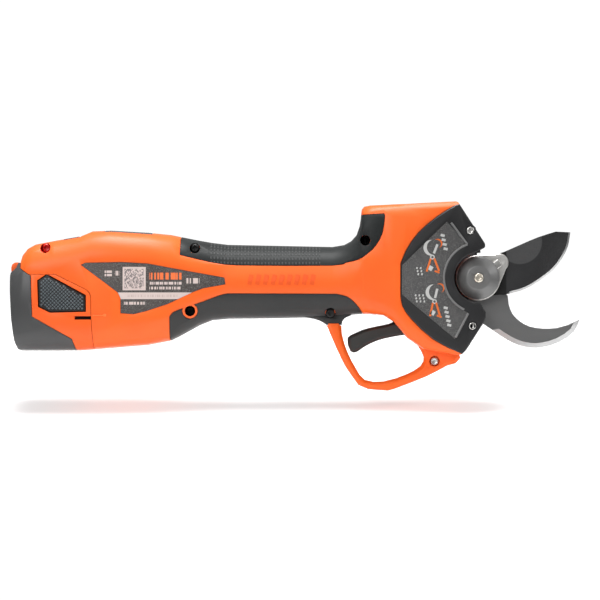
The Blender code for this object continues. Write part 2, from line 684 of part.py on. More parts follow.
def screw(name, centre, head_low, right, length, head_radius, head_height, metal):
    """A cross-head screw along y; head_low is the head's outer face, from the mid-plane."""
    sign = -1.0 if right else 1.0
    outer = head_low
    under = head_low - head_height
    tip = under - length
    profile = [(head_radius * 0.75, sign * outer), (head_radius, sign * (outer - head_height * 0.35)),
               (head_radius, sign * under), (SCREW_SHANK_RADIUS, sign * under),
               (SCREW_SHANK_RADIUS, sign * tip)]
    piece = turned(name, profile, "Y", centre, 8)
    recess = 0.55 * head_height
    low, high = sorted((sign * (outer + 1.0), sign * (outer - recess)))
    half = head_radius * 0.55
    slot = 0.16 * head_radius + 0.15
    arms = []
    for k in range(4):
        turn = math.radians(90.0 * k)
        for u, v in ((half, -slot), (half, slot), (slot, slot)):
            arms.append((centre[0] + u * math.cos(turn) - v * math.sin(turn),
                         centre[1] + u * math.sin(turn) + v * math.cos(turn)))
    cut(piece, prism("cross", arms, low, high))
    return dress(piece, metal)


def covers():
    for right in (True, False):
        word = "right" if right else "left"
        low, high = half_y(right, COVER_FACE, COVER_FLOOR)
        edge = 0.6
        cover = prism("head_cover_" + word, cover_outline(), low, high, round_low=edge if right else 0.0,
                      round_high=0.0 if right else edge, steps=1)
        if not right:
            cut(cover, prism("notch", circle((0.0, 0.0), notch_radius(False)), 0.0, BIG))
        for centre in cover_screws():
            cut(cover, bore(centre, right, 30.0, 0.0, SCREW_SHANK_RADIUS + FIT))
            cut(cover, bore(centre, right, 30.0, COVER_FACE - 1.1, 2.4 + FIT))
        if right:
            low, high = half_y(right, BIG, COVER_FACE - LABEL_DEPTH - GAP)
            cut(cover, prism("bed", inset_outline(panel_outline(), -0.2), low, high))
            low, high = half_y(right, COVER_FACE, COVER_FACE - LABEL_DEPTH)
            panel = prism("instruction_panel", panel_outline(), low, high)
            dress(panel, LABEL)
        dress(cover, BLACK)
        for number, centre in enumerate(cover_screws(), start=1):
            screw("cover_screw_%s_%d" % (word, number), centre, COVER_FACE, right, 7.0, 2.3, 1.0, STEEL)


def casing_screws():
    for number, centre in enumerate(shell_screws(), start=1):
        seat = screw_seat(centre) + GAP
        length = seat + (4.5 if centre[1] < -40.0 else 8.0)
        head = 2.0
        metal = STEEL if centre[1] < -40.0 else DARK_STEEL
        screw("housing_screw_%d" % number, centre, seat + head, True, length, SCREW_HEAD_RADIUS, head, metal)


# ---------------------------------------------------------------- top panel and buttons


def top_panel(name, grow):
    """Dark display strip let into the top of the body."""
    half = DISPLAY_HALF_WIDTH + grow
    low = (X_JOINT + 6.6 - grow, -half, BODY_TOP - 4.2 - grow)
    high = (X_JOINT + 33.2 + grow, half, BODY_TOP + 10.0)
    return box(name, low, high)


def power_button_form(name, grow):
    """Power button, square to the sloping top behind the display."""
    rise = 3.4
    x0 = X_JOINT - 16.6 - grow
    x1 = X_JOINT - 7.4 + grow
    slope = 2.2 / 13.0
    top0 = BODY_TOP - 5.0
    top1 = top0 + (x1 - x0) * slope
    lift = 8.0 if grow else 0.0
    outline = [(x0 + rise * slope, top0 - rise - grow), (x1 + rise * slope, top1 - rise - grow),
               (x1 - lift * slope, top1 + lift), (x0 - lift * slope, top0 + lift)]
    return prism(name, outline, -BUTTON_HALF_WIDTH - grow, BUTTON_HALF_WIDTH + grow)


def controls():
    display = common(top_panel("display_panel", 0.0), form("form"))
    dress(display, BLACK)
    button = power_button_form("power_button", 0.0)
    dress(button, BLACK)
    board = box("control_board", (X_JOINT + 8.0, -12.0, BODY_TOP - 14.0),
                (X_GRIP_REAR - 16.0, 12.0, BODY_TOP - 12.4))
    dress(board, BOARD)


# ---------------------------------------------------------------- blades and head


def bolt_hole():
    return prism("bolt_hole", circle((0.0, 0.0), BOLT_RADIUS + FIT, ROUND), -30.0, 30.0)


def moving_blade():
    tip = curve([(14.8, 14.6), (24.5, 18.9), (34.0, 22.9), (43.7, 26.0)], 2)
    edge = curve([(52.0, 25.6), (50.6, 17.6), (47.1, 10.6), (42.6, 4.8), (37.4, 0.5), (31.1, -3.8),
                  (24.9, -6.8), (19.2, -8.4), (15.8, -9.3)], 3)
    heel = [(10.2, -9.6)]
    hub_low = list(reversed(circle((0.0, 0.0), HUB_RADIUS, 8, 246.0, 60.0)))
    tail = list(reversed(circle((0.0, 0.0), SECTOR_OUTER + 0.5, 12, 172.0, 73.0)))
    hub_high = list(reversed(circle((0.0, 0.0), HUB_RADIUS, 10, 72.0, 98.0)))
    outline = tip + edge + heel + hub_low + tail + hub_high
    blade = prism("moving_blade", outline, MOVING_NEAR, MOVING_FAR)
    # the tail is thinner, to leave room for the teeth
    thin = list(circle((0.0, 0.0), HUB_RADIUS + 1.5, 12, 150.0, 118.0))
    thin += list(reversed(circle((0.0, 0.0), SECTOR_OUTER + 6.0, 12, 150.0, 118.0)))
    cut(blade, prism("thin", thin, MOVING_NEAR + TAIL_THICKNESS, 10.0))
    # teeth round the tail, enough for the whole stroke
    pitch = 360.0 / SECTOR_TEETH
    count = int((BLADE_TRAVEL + 2.0 * pitch) / pitch) + 1
    for k in range(count):
        join(blade, sector_tooth(180.0 - pitch / 2 + pitch * k))
    cut(blade, bolt_hole())
    cut(blade, prism("hole", circle(lock_screw_place(), SCREW_SHANK_RADIUS + FIT, 16), -30.0, 30.0))
    return dress(blade, BLADE_BLACK)


def sector_tooth(middle):
    """One tooth of the sector: every size grows with its distance from the pivot."""
    slope = PINION_TEETH / SECTOR_TEETH
    module = 2 * slope / PINION_TEETH
    tip = slope - 0.8 * module
    pitch = 360.0 / SECTOR_TEETH
    rings = []
    for radius in (SECTOR_INNER, SECTOR_OUTER):
        ring = []
        foot = MOVING_NEAR + TAIL_THICKNESS - 0.5
        for share, depth in ((-0.33, foot), (-0.13, -tip * radius), (0.13, -tip * radius), (0.33, foot)):
            angle = math.radians(middle + share * pitch)
            ring.append((radius * math.cos(angle), depth, radius * math.sin(angle)))
        rings.append(ring)
    return loft("tooth", rings)


def bevel_pinion():
    """Small bevel wheel on the drive shaft, its cone pointing at the blade pivot."""
    slope = PINION_TEETH / SECTOR_TEETH
    module = 2 * slope / PINION_TEETH
    tip = slope + 0.8 * module
    root = slope - 1.2 * module
    pitch = 360.0 / PINION_TEETH
    rings = []
    for distance in (SECTOR_INNER - 0.4, SECTOR_OUTER + 0.3):
        ring = []
        for k in range(PINION_TEETH):
            middle = 180.0 + pitch * k
            for share, size in ((-0.30, root), (-0.11, tip), (0.11, tip), (0.30, root)):
                angle = math.radians(middle + share * pitch)
                ring.append((-distance, size * distance * math.cos(angle), size * distance * math.sin(angle)))
        rings.append(ring)
    wheel = loft("bevel_pinion", rings)
    cut(wheel, prism("bore", circle((0.0, 0.0), SHAFT_END_RADIUS + FIT, 16), -60.0, 0.0, axis="X"))
    return dress(wheel, STEEL, (-SECTOR_OUTER, 0.0, 0.0))


def fixed_blade():
    """Hooked counter blade: hub round the bolt, tang down to its screw, hook forward."""
    hub = circle((0.0, 0.0), 11.2, 10, 75.0, 140.0)
    tang = [(-8.6, -10.5), (-6.2, -21.5), (-2.0, -24.6)]
    outer = curve([(3.3, -25.8), (10.6, -30.7), (17.2, -35.0), (23.4, -37.8), (30.0, -39.2), (36.7, -38.9),
                   (45.8, -36.2), (54.3, -30.4), (BLADE_REACH, -23.5)], 2)
    inner = curve([(51.3, -26.4), (44.6, -28.2), (36.7, -28.5), (29.4, -27.3), (24.0, -24.5), (19.7, -20.2),
                   (17.6, -14.8), (17.0, -9.9), (15.0, -8.9)], 2)
    outline = hub + tang + outer + inner + [(10.5, -4.0)]
    blade = prism("fixed_blade", outline, FIXED_NEAR, FIXED_FAR)
    cut(blade, bolt_hole())
    cut(blade, prism("hole", circle(BLADE_SCREW, SCREW_SHANK_RADIUS + FIT, 16), -30.0, 30.0))
    return dress(blade, BLADE_GREY)


def lock_screw_place():
    angle = math.radians(35.4)
    reach = LOCK_RADIUS + 0.4
    return (reach * math.cos(angle), reach * math.sin(angle))


def lock_plate():
    """Round plate under the nut with one lobe, screwed to the moving blade."""
    screw_x, screw_z = lock_screw_place()
    reach = 1.12
    lobe = 5.2
    toward = 37.0
    outline = circle((0.0, 0.0), LOCK_RADIUS, 24, toward + 60.0, 240.0)
    outline += circle((screw_x * reach, screw_z * reach), lobe, 10, toward - 80.0, 160.0)
    plate = prism("lock_plate", outline, LOCK_NEAR, LOCK_FAR, round_low=0.4, steps=1)
    cut(plate, bolt_hole())
    cut(plate, prism("hole", circle(lock_screw_place(), SCREW_SHANK_RADIUS + FIT, 16), -30.0, 30.0))
    dress(plate, STEEL)
    # its screw: a rounded square head under the nut's flange
    head = 2.6
    corners = []
    for k in range(4):
        corners += circle((screw_x + 1.5 * math.cos(math.radians(45 + 90 * k + toward)),
                           screw_z + 1.5 * math.sin(math.radians(45 + 90 * k + toward))), 1.2, 3,
                          90 * k + toward, 90.0)
    fastener = prism("lock_screw", corners, LOCK_NEAR - 0.05 - 1.7, LOCK_NEAR - 0.05, round_low=0.3, steps=1)
    shank = prism("shank", circle((screw_x, screw_z), SCREW_SHANK_RADIUS, 16), LOCK_NEAR - 0.5,
                  MOVING_FAR - 0.3)
    join(fastener, shank)
    dress(fastener, STEEL)


def pivot_parts():
    shank_end = NUT_NEAR + 2.2
    head_face = FRAME_FAR + GAP
    bolt = turned("pivot_bolt", [(BOLT_RADIUS - 0.6, shank_end), (BOLT_RADIUS, shank_end + 0.6),
                                 (BOLT_RADIUS, head_face + 1.0)], "Y")
    join(bolt, prism("head", circle((0.0, 0.0), 7.6, 6), head_face, head_face + 4.5, round_high=0.6, steps=1))
    cut(bolt, bore((0.0, 0.0), True, 30.0, -shank_end - 6.0, SCREW_SHANK_RADIUS + FIT))
    dress(bolt, STEEL)
    neck = 9.0
    flange = NUT_FAR - 2.15
    profile = [(BOLT_RADIUS + FIT, NUT_FAR), (neck, NUT_FAR), (neck, flange), (NUT_RADIUS - 0.3, flange),
               (NUT_RADIUS, flange - 0.3), (NUT_RADIUS, flange - 1.1), (10.6, flange - 2.0),
               (7.4, NUT_NEAR + 0.5),
               (6.5, NUT_NEAR), (SCREW_SHANK_RADIUS + FIT, NUT_NEAR),
               (SCREW_SHANK_RADIUS + FIT, NUT_NEAR + 1.9),
               (BOLT_RADIUS + FIT, NUT_NEAR + 1.9)]
    nut = turned("pivot_nut", profile, "Y", bored=True)
    dress(nut, DARK_STEEL)
    screw("pivot_screw", (0.0, 0.0), -NUT_NEAR + 0.1 + 1.4, True, 5.6, 2.7, 1.4, STEEL)


def gear_case():
    """Cast frame in the head: carries the bolt, the fixed blade and the drive shaft's bearing."""
    outline = circle((0.0, 0.0), 13.0, 8, -60.0, 150.0)
    outline += [(-8.0, 21.0), (-30.0, 21.0), (-46.0, 12.0), (-46.0, -10.0), (-38.0, -13.0), (-18.0, -20.0),
                (-6.0, -24.0), (3.0, -24.0)]
    case = prism("gear_case", outline, FRAME_NEAR, FRAME_FAR, round_high=0.8, steps=1)
    pillar = FIXED_FAR + GAP
    join(case, prism("boss", circle((0.0, 0.0), 10.5, 24), pillar, FRAME_NEAR + 1.0))
    join(case, prism("boss", circle(BLADE_SCREW, 4.2, 16), pillar, FRAME_NEAR + 1.0))
    block_front = BEARING_FRONT + 1.6
    block = box("block", (BEARING_FRONT - BEARING_WIDTH - 1.2, -10.4, -10.4),
                (block_front, FRAME_NEAR + 1.0, 10.4))
    join(case, block)
    cut(case, prism("seat", circle((0.0, 0.0), BEARING_RADIUS + FIT, ROUND),
                    BEARING_FRONT - BEARING_WIDTH - 5.0,
                    BEARING_FRONT, axis="X"))
    cut(case, prism("way", circle((0.0, 0.0), BEARING_RADIUS - 1.6, ROUND), BEARING_FRONT - 1.0,
                    block_front + 5.0,
                    axis="X"))
    cut(case, bolt_hole())
    cut(case, prism("hole", circle(BLADE_SCREW, SCREW_SHANK_RADIUS + FIT, 16), -30.0, FRAME_NEAR + 1.0))
    return dress(case, CAST)


def drive_shaft():
    """Planet carrier and drive shaft in one piece, from the gearbox to the pinion."""
    pins_rear = SHAFT_TAIL - GEAR_WIDTH - 0.6
    carrier_front = SHAFT_TAIL + 3.0
    profile = [(9.4, SHAFT_TAIL), (9.4, carrier_front), (SHAFT_RADIUS, carrier_front),
               (SHAFT_RADIUS, -SECTOR_OUTER - 0.6), (SHAFT_END_RADIUS, -SECTOR_OUTER - 0.6),
               (SHAFT_END_RADIUS, -SECTOR_INNER)]
    carrier = turned("planet_carrier", profile, "X")
    for place_y, place_z in planet_places():
        join(carrier, prism("pin", circle((place_y, place_z), PLANET_PIN_RADIUS, 12), pins_rear,
                            SHAFT_TAIL + 1.0,
                            axis="X"))
    dress(carrier, STEEL, (SHAFT_TAIL, 0.0, 0.0))
    ring = turned("pinion_bearing", [(SHAFT_RADIUS + FIT, BEARING_FRONT - BEARING_WIDTH),
                                     (BEARING_RADIUS, BEARING_FRONT - BEARING_WIDTH),
                                     (BEARING_RADIUS, BEARING_FRONT - GAP),
                                     (SHAFT_RADIUS + FIT, BEARING_FRONT - GAP)], "X", bored=True)
    dress(ring, STEEL)


def planet_places():
    reach = GEAR_MODULE * (SUN_TEETH + PLANET_TEETH) / 2
    return [(reach * math.cos(2 * math.pi * k / PLANET_COUNT),
             reach * math.sin(2 * math.pi * k / PLANET_COUNT))
            for k in range(PLANET_COUNT)]


def wheel_outline(teeth, centre, start, inner=False):
    """Toothed outline with straight flanks; start is the angle of one tooth's middle, in degrees."""
    pitch_radius = GEAR_MODULE * teeth / 2
    tip = pitch_radius + (-0.75 if inner else 0.75) * GEAR_MODULE
    root = pitch_radius + (1.1 if inner else -1.1) * GEAR_MODULE
    pitch = 360.0 / teeth
    points = []
    for k in range(teeth):
        middle = start + pitch * k
        for share, radius in ((-0.30, root), (-0.10, tip), (0.10, tip), (0.30, root)):
            angle = math.radians(middle + share * pitch)
            points.append((centre[0] + radius * math.cos(angle), centre[1] + radius * math.sin(angle)))
    return points


def gearbox():
    wheels_front = SHAFT_TAIL - 0.3
    wheels_rear = wheels_front - GEAR_WIDTH + 0.6
    # case with the ring gear's teeth inside, closed in front by a wall with the shaft's hole
    case = prism("gearbox_case", circle((0.0, 0.0), DRIVE_RADIUS, ROUND), GEARBOX_REAR, GEARBOX_FRONT,
                 axis="X",
                 round_high=0.8, steps=1)
    ring_teeth = wheel_outline(RING_TEETH, (0.0, 0.0), 180.0 / RING_TEETH, inner=True)
    cut(case, prism("teeth", ring_teeth, GEARBOX_REAR - 1.0, SHAFT_TAIL + 0.2, axis="X"))
    cut(case, prism("room", circle((0.0, 0.0), 9.8, ROUND), GEARBOX_REAR - 1.0, GEARBOX_FRONT - 1.2,
                    axis="X"))
    cut(case, prism("room", circle((0.0, 0.0), 11.3, ROUND), GEARBOX_REAR - 1.0, wheels_rear - 1.0, axis="X"))
    cut(case, prism("hole", circle((0.0, 0.0), SHAFT_RADIUS + SLIDE_GAP, ROUND), GEARBOX_REAR,
                    GEARBOX_FRONT + 1.0,
                    axis="X"))
    dress(case, CAST)
    for number, centre in enumerate(planet_places(), start=1):
        start = 360.0 / PLANET_COUNT * (number - 1)
        planet = prism("planet_%d" % number, wheel_outline(PLANET_TEETH, centre, start), wheels_rear,
                       wheels_front,
                       axis="X")
        cut(planet, prism("bore", circle(centre, PLANET_PIN_RADIUS + FIT, 12), -BIG, BIG, axis="X"))
        dress(planet, STEEL, (wheels_rear, centre[0], centre[1]))
    sun = prism("sun_gear", wheel_outline(SUN_TEETH, (0.0, 0.0), 0.0), wheels_rear - 1.5, wheels_front,
                axis="X")
    cut(sun, prism("bore", circle((0.0, 0.0), ROTOR_SHAFT_RADIUS + FIT, 16), -BIG, BIG, axis="X"))
    dress(sun, STEEL, (wheels_rear, 0.0, 0.0))


def motor():
    """Brushless motor: a can with the wound stator, and a magnet rotor on the sun's shaft."""
    wheels_front = SHAFT_TAIL - 0.3
    can = turned("motor_stator", [(ROTOR_RADIUS + 0.5, MOTOR_REAR + 2.0),
                                  (ROTOR_SHAFT_RADIUS + SLIDE_GAP, MOTOR_REAR + 2.0),
                                  (ROTOR_SHAFT_RADIUS + SLIDE_GAP, MOTOR_REAR),
                                  (DRIVE_RADIUS - 0.8, MOTOR_REAR),
                                  (DRIVE_RADIUS, MOTOR_REAR + 0.8), (DRIVE_RADIUS, MOTOR_FRONT),
                                  (ROTOR_RADIUS + 0.5, MOTOR_FRONT)], "X", bored=True)
    dress(can, DARK_STEEL)
    rotor = turned("motor_rotor", [(ROTOR_SHAFT_RADIUS, MOTOR_REAR - 2.0),
                                   (ROTOR_SHAFT_RADIUS, MOTOR_REAR + 4.0),
                                   (ROTOR_RADIUS, MOTOR_REAR + 4.0), (ROTOR_RADIUS, MOTOR_FRONT - 3.0),
                                   (ROTOR_SHAFT_RADIUS, MOTOR_FRONT - 3.0),
                                   (ROTOR_SHAFT_RADIUS, wheels_front - 0.5)], "X")
    dress(rotor, STEEL, (MOTOR_REAR, 0.0, 0.0))


# ---------------------------------------------------------------- trigger


def trigger_parts():
    lower = curve([(-40.8, -32.0), (-48.8, -33.3), (-56.5, -35.3), (-62.9, -38.3), (-67.4, -41.4),
                   (-69.8, -42.0)], 2)
    nose = curve([(-71.4, -41.2), (-72.9, -37.2), (-72.9, -33.6)], 2)
    upper = curve([(-71.6, -32.4), (-64.2, -29.1), (-56.5, -27.2), (-49.5, -25.7), (-43.5, -22.8)], 2)
    arm = [(-39.0, -19.5), (-38.4, -12.6), (-33.6, -12.6), (-33.4, -20.0), (-32.0, -24.0), (-34.0, -28.6)]
    outline = lower + nose + upper + arm
    trigger = prism("trigger", outline, -TRIGGER_HALF_WIDTH, TRIGGER_HALF_WIDTH, round_low=1.6,
                    round_high=1.6, steps=1)
    cut(trigger, prism("bore", circle(TRIGGER_PIVOT, TRIGGER_PIN_RADIUS + FIT, 16), -30.0, 30.0))
    dress(trigger, RUBBER, (TRIGGER_PIVOT[0], 0.0, TRIGGER_PIVOT[1]))
    pin = prism("trigger_pin", circle(TRIGGER_PIVOT, TRIGGER_PIN_RADIUS, 16), -COVER_FLOOR + 1.0,
                COVER_FLOOR - 1.0, round_low=0.3, round_high=0.3, steps=1)
    dress(pin, STEEL)
    sensor = box("trigger_sensor", (-44.0, FRAME_FAR + GAP, -9.0), (-36.0, FRAME_FAR + GAP + 1.6, 3.0))
    dress(sensor, BOARD)
    # return spring, between the trigger's arm and the bearing block's foot
    turns = 3.5
    start_x = -33.3
    end_x = -27.2
    radius = 2.2
    wire = 0.4
    sides = 5
    per_turn = 10
    rings = []
    count = int(turns * per_turn)
    for k in range(count + 1):
        angle = 2 * math.pi * k / per_turn
        x = start_x + wire + (end_x - start_x - 2 * wire) * k / count
        ring = []
        for j in range(sides):
            around = 2 * math.pi * j / sides
            reach = radius + wire * math.cos(around)
            ring.append((x + wire * math.sin(around), reach * math.cos(angle),
                         -15.2 + reach * math.sin(angle)))
        rings.append(ring)
    dress(loft("trigger_spring", rings), STEEL)


# ---------------------------------------------------------------- battery


def pack_tongue(name, grow, rear, front=PACK_FRONT):
    """The pack's inner case, which slides forward into the body."""
    low = (rear, PACK_BOTTOM - grow)
    high = (front + max(grow, 0.0) * 2, PACK_TOP + grow)
    half = PACK_HALF_WIDTH + grow
    corner = PACK_CORNER + grow
    outline = []
    for centre, start in (((half - corner, high[1] - corner), 0.0),
                          ((-half + corner, high[1] - corner), 90.0),
                          ((-half + corner, low[1] + corner), 180.0),
                          ((half - corner, low[1] + corner), 270.0)):
        outline += circle(centre, corner, 3, start, 90.0)
    return prism(name, outline, low[0], high[0], axis="X")


def cap_outline():
    """Side view of the grey cap round the pack's rear and bottom."""
    edge = [(X_TAIL + 6.0, 5.5), (X_TAIL + 7.0, 4.2), (X_TAIL + 11.8, 1.1), (X_TAIL + 12.6, -21.7),
            (X_TAIL + 34.6, -34.2), (X_TAIL + 36.6, -40.3), (X_TAIL + 37.0, -60.0)]
    return edge + [(X_TAIL - 20.0, -60.0), (X_TAIL - 20.0, 30.0), (X_TAIL + 6.0, 30.0)]


def button_outline():
    """Side view of the pack's release button."""
    return [(X_JOINT - 29.1, -16.0), (X_JOINT - 22.8, -19.1), (X_JOINT - 3.2, -18.6), (X_JOINT - 3.2, -9.9),
            (X_JOINT - 24.6, 1.7), (X_JOINT - 29.6, -1.6)]


def battery():
    shell = prism("battery_shell", battery_outline(), -BIG, BIG)
    common(shell, form("form"))
    cap_room = prism("cap_room", inset_outline(cap_outline(), -GAP), -BIG, BIG)
    cut(cap_room, form_pack("form", 2.0 + GAP))
    cut(shell, cap_room)
    join(shell, pack_tongue("tongue", 0.0, X_TAIL + 3.4))
    inside_low = PACK_BOTTOM + PACK_WALL
    half = PACK_HALF_WIDTH - PACK_WALL
    cut(shell, pack_tongue("inside", -PACK_WALL, X_TAIL + 4.6, PACK_FRONT - PACK_WALL))
    cut(shell, box("mouth", (PACK_FRONT - 5.0, -12.0, -24.0), (PACK_FRONT + 5.0, 12.0, -14.0)))
    button_face = BODY_HALF_WIDTH - 0.7
    for right in (True, False):
        low, high = half_y(right, BIG, half - 1.0)
        cut(shell, prism("way", inset_outline(button_outline(), -SLIDE_GAP), low, high))
        low, high = half_y(right, BIG, BODY_HALF_WIDTH - LATCH_DEPTH)
        cut(shell, box("latch", (X_JOINT - LATCH_LENGTH, low, LATCH_LEVELS[0]),
                       (X_JOINT + 5.0, high, LATCH_LEVELS[1])))
        word = "right" if right else "left"
        button = prism("release_button_" + word, button_outline(), *half_y(right, button_face, half + 2.6),
                       round_low=0.5 if right else 0.0, round_high=0.0 if right else 0.5, steps=1)
        dress(button, RUBBER)
    cut(shell, charge_plug("plug", GAP))
    dress(shell, ORANGE_PACK)
    cap = form("battery_cap")
    common(cap, prism("region", cap_outline(), -BIG, BIG))
    common(cap, prism("region", battery_outline(), -BIG, BIG))
    cut(cap, form_pack("form", 2.0))
    cut(cap, pack_tongue("tongue", GAP, X_TAIL + 3.4 - GAP))
    cut(cap, charge_plug("plug", GAP))
    dress(cap, GREY)
    dress(charge_plug("charge_port_plug", 0.0), ORANGE_PACK)
    number = 0
    for y in (-CELL_RADIUS - CELL_GAP / 2, CELL_RADIUS + CELL_GAP / 2):
        for z in (inside_low + CELL_RADIUS + 0.1, inside_low + 3 * CELL_RADIUS + 0.1 + CELL_GAP / 2):
            number += 1
            cell = turned("battery_cell_%d" % number, [(CELL_RADIUS, CELL_REAR),
                                                       (CELL_RADIUS, CELL_FRONT - 0.4),
                                                       (3.2, CELL_FRONT - 0.4), (3.2, CELL_FRONT + 0.6)],
                          "X", (y, z), 16)
            dress(cell, CELL)
    board = box("battery_board", (CELL_FRONT + 1.2, -half + 3.0, inside_low + 3.0),
                (CELL_FRONT + 2.6, half - 3.0, PACK_TOP - PACK_WALL - 3.0))
    dress(board, BOARD)
    block = box("terminal_block", (PACK_FRONT + 1.2, -13.0, -26.0), (PACK_FRONT + 9.0, 13.0, -12.0))
    for y in (-8.0, 0.0, 8.0):
        join(block, box("blade", (PACK_FRONT - 1.6, y - 0.5, -21.5), (PACK_FRONT + 2.0, y + 0.5, -16.5)))
    dress(block, BLACK)


def charge_plug(name, grow):
    """Plug over the charging socket, standing on the slope at the top of the pack's rear."""
    outline = [(X_TAIL + 1.8, 1.9), (X_TAIL + 4.3, 3.8), (X_TAIL + 4.3, 8.0), (X_TAIL + 3.6, 8.8),
               (X_TAIL + 2.0, 8.5), (X_TAIL + 0.6, 7.4), (X_TAIL + 0.1, 5.6), (X_TAIL + 0.2, 3.4)]
    half = PLUG_HALF_WIDTH + grow
    return prism(name, inset_outline(outline, -grow), -half, half)


def form_pack(name, inset):
    """The outer form shrunk at the sides and at the rear, to back the pack's cap."""
    rings = []
    for x, top, bottom, half_width, squareness, wall in form_sections():
        if x > X_GRIP_REAR:
            break
        rings.append(form_ring(x + inset * 1.2 + (1.6 if x < X_TAIL + 5.0 else 0.0), top - inset,
                               bottom + inset,
                               half_width - inset, squareness))
    return loft(name, rings)


# ---------------------------------------------------------------- build

clear_scene()
DATUM = bpy.data.objects.new("pivot_datum", None)
bpy.context.scene.collection.objects.link(DATUM)
DATUM.location = Vector((PIVOT_X, 0.0, GUARD_DROP)) * SCALE

ORANGE = finish_material("orange_plastic", (0.95, 0.22, 0.03), 0.42)
ORANGE_PACK = finish_material("orange_pack_plastic", (0.93, 0.17, 0.03), 0.45)
RUBBER = finish_material("grip_rubber", (0.035, 0.037, 0.037), 0.7)
BLACK = finish_material("black_plastic", (0.055, 0.055, 0.055), 0.5)
GREY = finish_material("grey_plastic", (0.09, 0.09, 0.09), 0.55)
LABEL = finish_material("label_film", (0.12, 0.115, 0.11), 0.6)
STEEL = finish_material("bright_steel", (0.6, 0.6, 0.58), 0.3, 1.0)
DARK_STEEL = finish_material("dark_steel", (0.1, 0.1, 0.1), 0.35, 1.0)
CAST = finish_material("cast_aluminium", (0.45, 0.45, 0.46), 0.5, 1.0)
BLADE_BLACK = finish_material("coated_blade", (0.05, 0.05, 0.05), 0.4, 0.6)
BLADE_GREY = finish_material("ground_blade", (0.35, 0.35, 0.35), 0.4, 1.0)
BOARD = finish_material("circuit_board", (0.02, 0.12, 0.05), 0.5)
CELL = finish_material("cell_wrap", (0.05, 0.2, 0.45), 0.4)

casing()
covers()
casing_screws()
controls()
moving_blade()
fixed_blade()
lock_plate()
pivot_parts()
gear_case()
screw("blade_screw", BLADE_SCREW, -FIXED_NEAR + 1.2 + 0.05, True, 9.0, 2.2, 1.2, STEEL)
bevel_pinion()
drive_shaft()
gearbox()
motor()
trigger_parts()
battery()
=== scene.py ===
import json
import math

import bpy
from mathutils import Matrix, Vector


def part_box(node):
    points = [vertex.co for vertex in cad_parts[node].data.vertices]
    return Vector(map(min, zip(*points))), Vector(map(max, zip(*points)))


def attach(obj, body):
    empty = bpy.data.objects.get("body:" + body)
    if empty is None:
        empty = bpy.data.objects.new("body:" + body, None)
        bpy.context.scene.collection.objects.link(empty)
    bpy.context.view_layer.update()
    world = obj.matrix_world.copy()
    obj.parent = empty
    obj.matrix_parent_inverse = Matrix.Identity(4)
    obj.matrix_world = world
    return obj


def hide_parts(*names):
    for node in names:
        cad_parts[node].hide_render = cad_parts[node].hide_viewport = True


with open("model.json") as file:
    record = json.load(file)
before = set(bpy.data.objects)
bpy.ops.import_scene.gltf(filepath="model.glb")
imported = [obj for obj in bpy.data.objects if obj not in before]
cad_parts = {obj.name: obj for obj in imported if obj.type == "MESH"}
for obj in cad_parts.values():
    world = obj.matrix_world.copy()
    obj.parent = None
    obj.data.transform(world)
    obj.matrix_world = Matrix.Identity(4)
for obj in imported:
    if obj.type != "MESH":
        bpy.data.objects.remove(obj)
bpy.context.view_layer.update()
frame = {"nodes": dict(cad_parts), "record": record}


# ---- Camera, floor and lights -------------------------------------------------------------
# The tool is seen square on from its right side, as a catalogue plate shows it, from far
# enough back that its sides stay parallel. It hangs a little above a pale seamless floor.
STAGE_WIDTH = 0.336
LENS = 200.0
FILM = 36.0
EYE = Vector((0.0022, 0.0, 0.0508))
FLOOR_DROP = 0.0105
FLOOR_RADIUS = 0.5
FLOOR_RISE = math.radians(9)

bpy.ops.object.camera_add(
    location=(EYE.x, -STAGE_WIDTH * LENS / FILM - 0.012, EYE.z),
    rotation=(math.radians(90), 0, 0),
)
camera = bpy.context.active_object
camera.name = "camera"
camera.data.lens = LENS
camera.data.sensor_width = FILM
camera.data.clip_start = 0.05
bpy.context.scene.camera = camera
bpy.context.scene.view_settings.view_transform = "Standard"

bpy.ops.mesh.primitive_circle_add(
    vertices=96, radius=FLOOR_RADIUS, fill_type="NGON", location=(0, 0, -FLOOR_DROP),
    rotation=(FLOOR_RISE, 0, 0),
)
floor = bpy.context.active_object
floor.name = "floor"

# White paper that thins out to nothing at its rim, so no edge shows against the white room.
paper = bpy.data.materials.new("pale_paper")
paper.use_nodes = True
floor.data.materials.append(paper)
paper_nodes = paper.node_tree.nodes
paper_link = paper.node_tree.links.new
paper_shader = paper_nodes["Principled BSDF"]
paper_shader.inputs["Roughness"].default_value = 0.9
paper_shader.inputs["Specular IOR Level"].default_value = 0.0
paper_shader.inputs["Emission Strength"].default_value = 0.42
paper_fibre = paper_nodes.new("ShaderNodeTexNoise")
paper_fibre.inputs["Scale"].default_value = 30
paper_tone = paper_nodes.new("ShaderNodeValToRGB")
paper_tone.color_ramp.elements[0].color = (0.72, 0.72, 0.72, 1)
paper_tone.color_ramp.elements[1].color = (0.76, 0.76, 0.76, 1)
paper_place = paper_nodes.new("ShaderNodeTexCoord")
paper_reach = paper_nodes.new("ShaderNodeVectorMath")
paper_reach.operation = "LENGTH"
paper_fade = paper_nodes.new("ShaderNodeMapRange")
paper_fade.interpolation_type = "SMOOTHSTEP"
paper_fade.inputs["From Min"].default_value = FLOOR_RADIUS * 0.42
paper_fade.inputs["From Max"].default_value = FLOOR_RADIUS * 0.95
paper_fade.inputs["To Min"].default_value = 1.0
paper_fade.inputs["To Max"].default_value = 0.0
paper_link(paper_fibre.outputs["Fac"], paper_tone.inputs["Fac"])
paper_link(paper_tone.outputs["Color"], paper_shader.inputs["Base Color"])
paper_link(paper_tone.outputs["Color"], paper_shader.inputs["Emission Color"])
paper_link(paper_place.outputs["Object"], paper_reach.inputs[0])
paper_link(paper_reach.outputs["Value"], paper_fade.inputs["Value"])
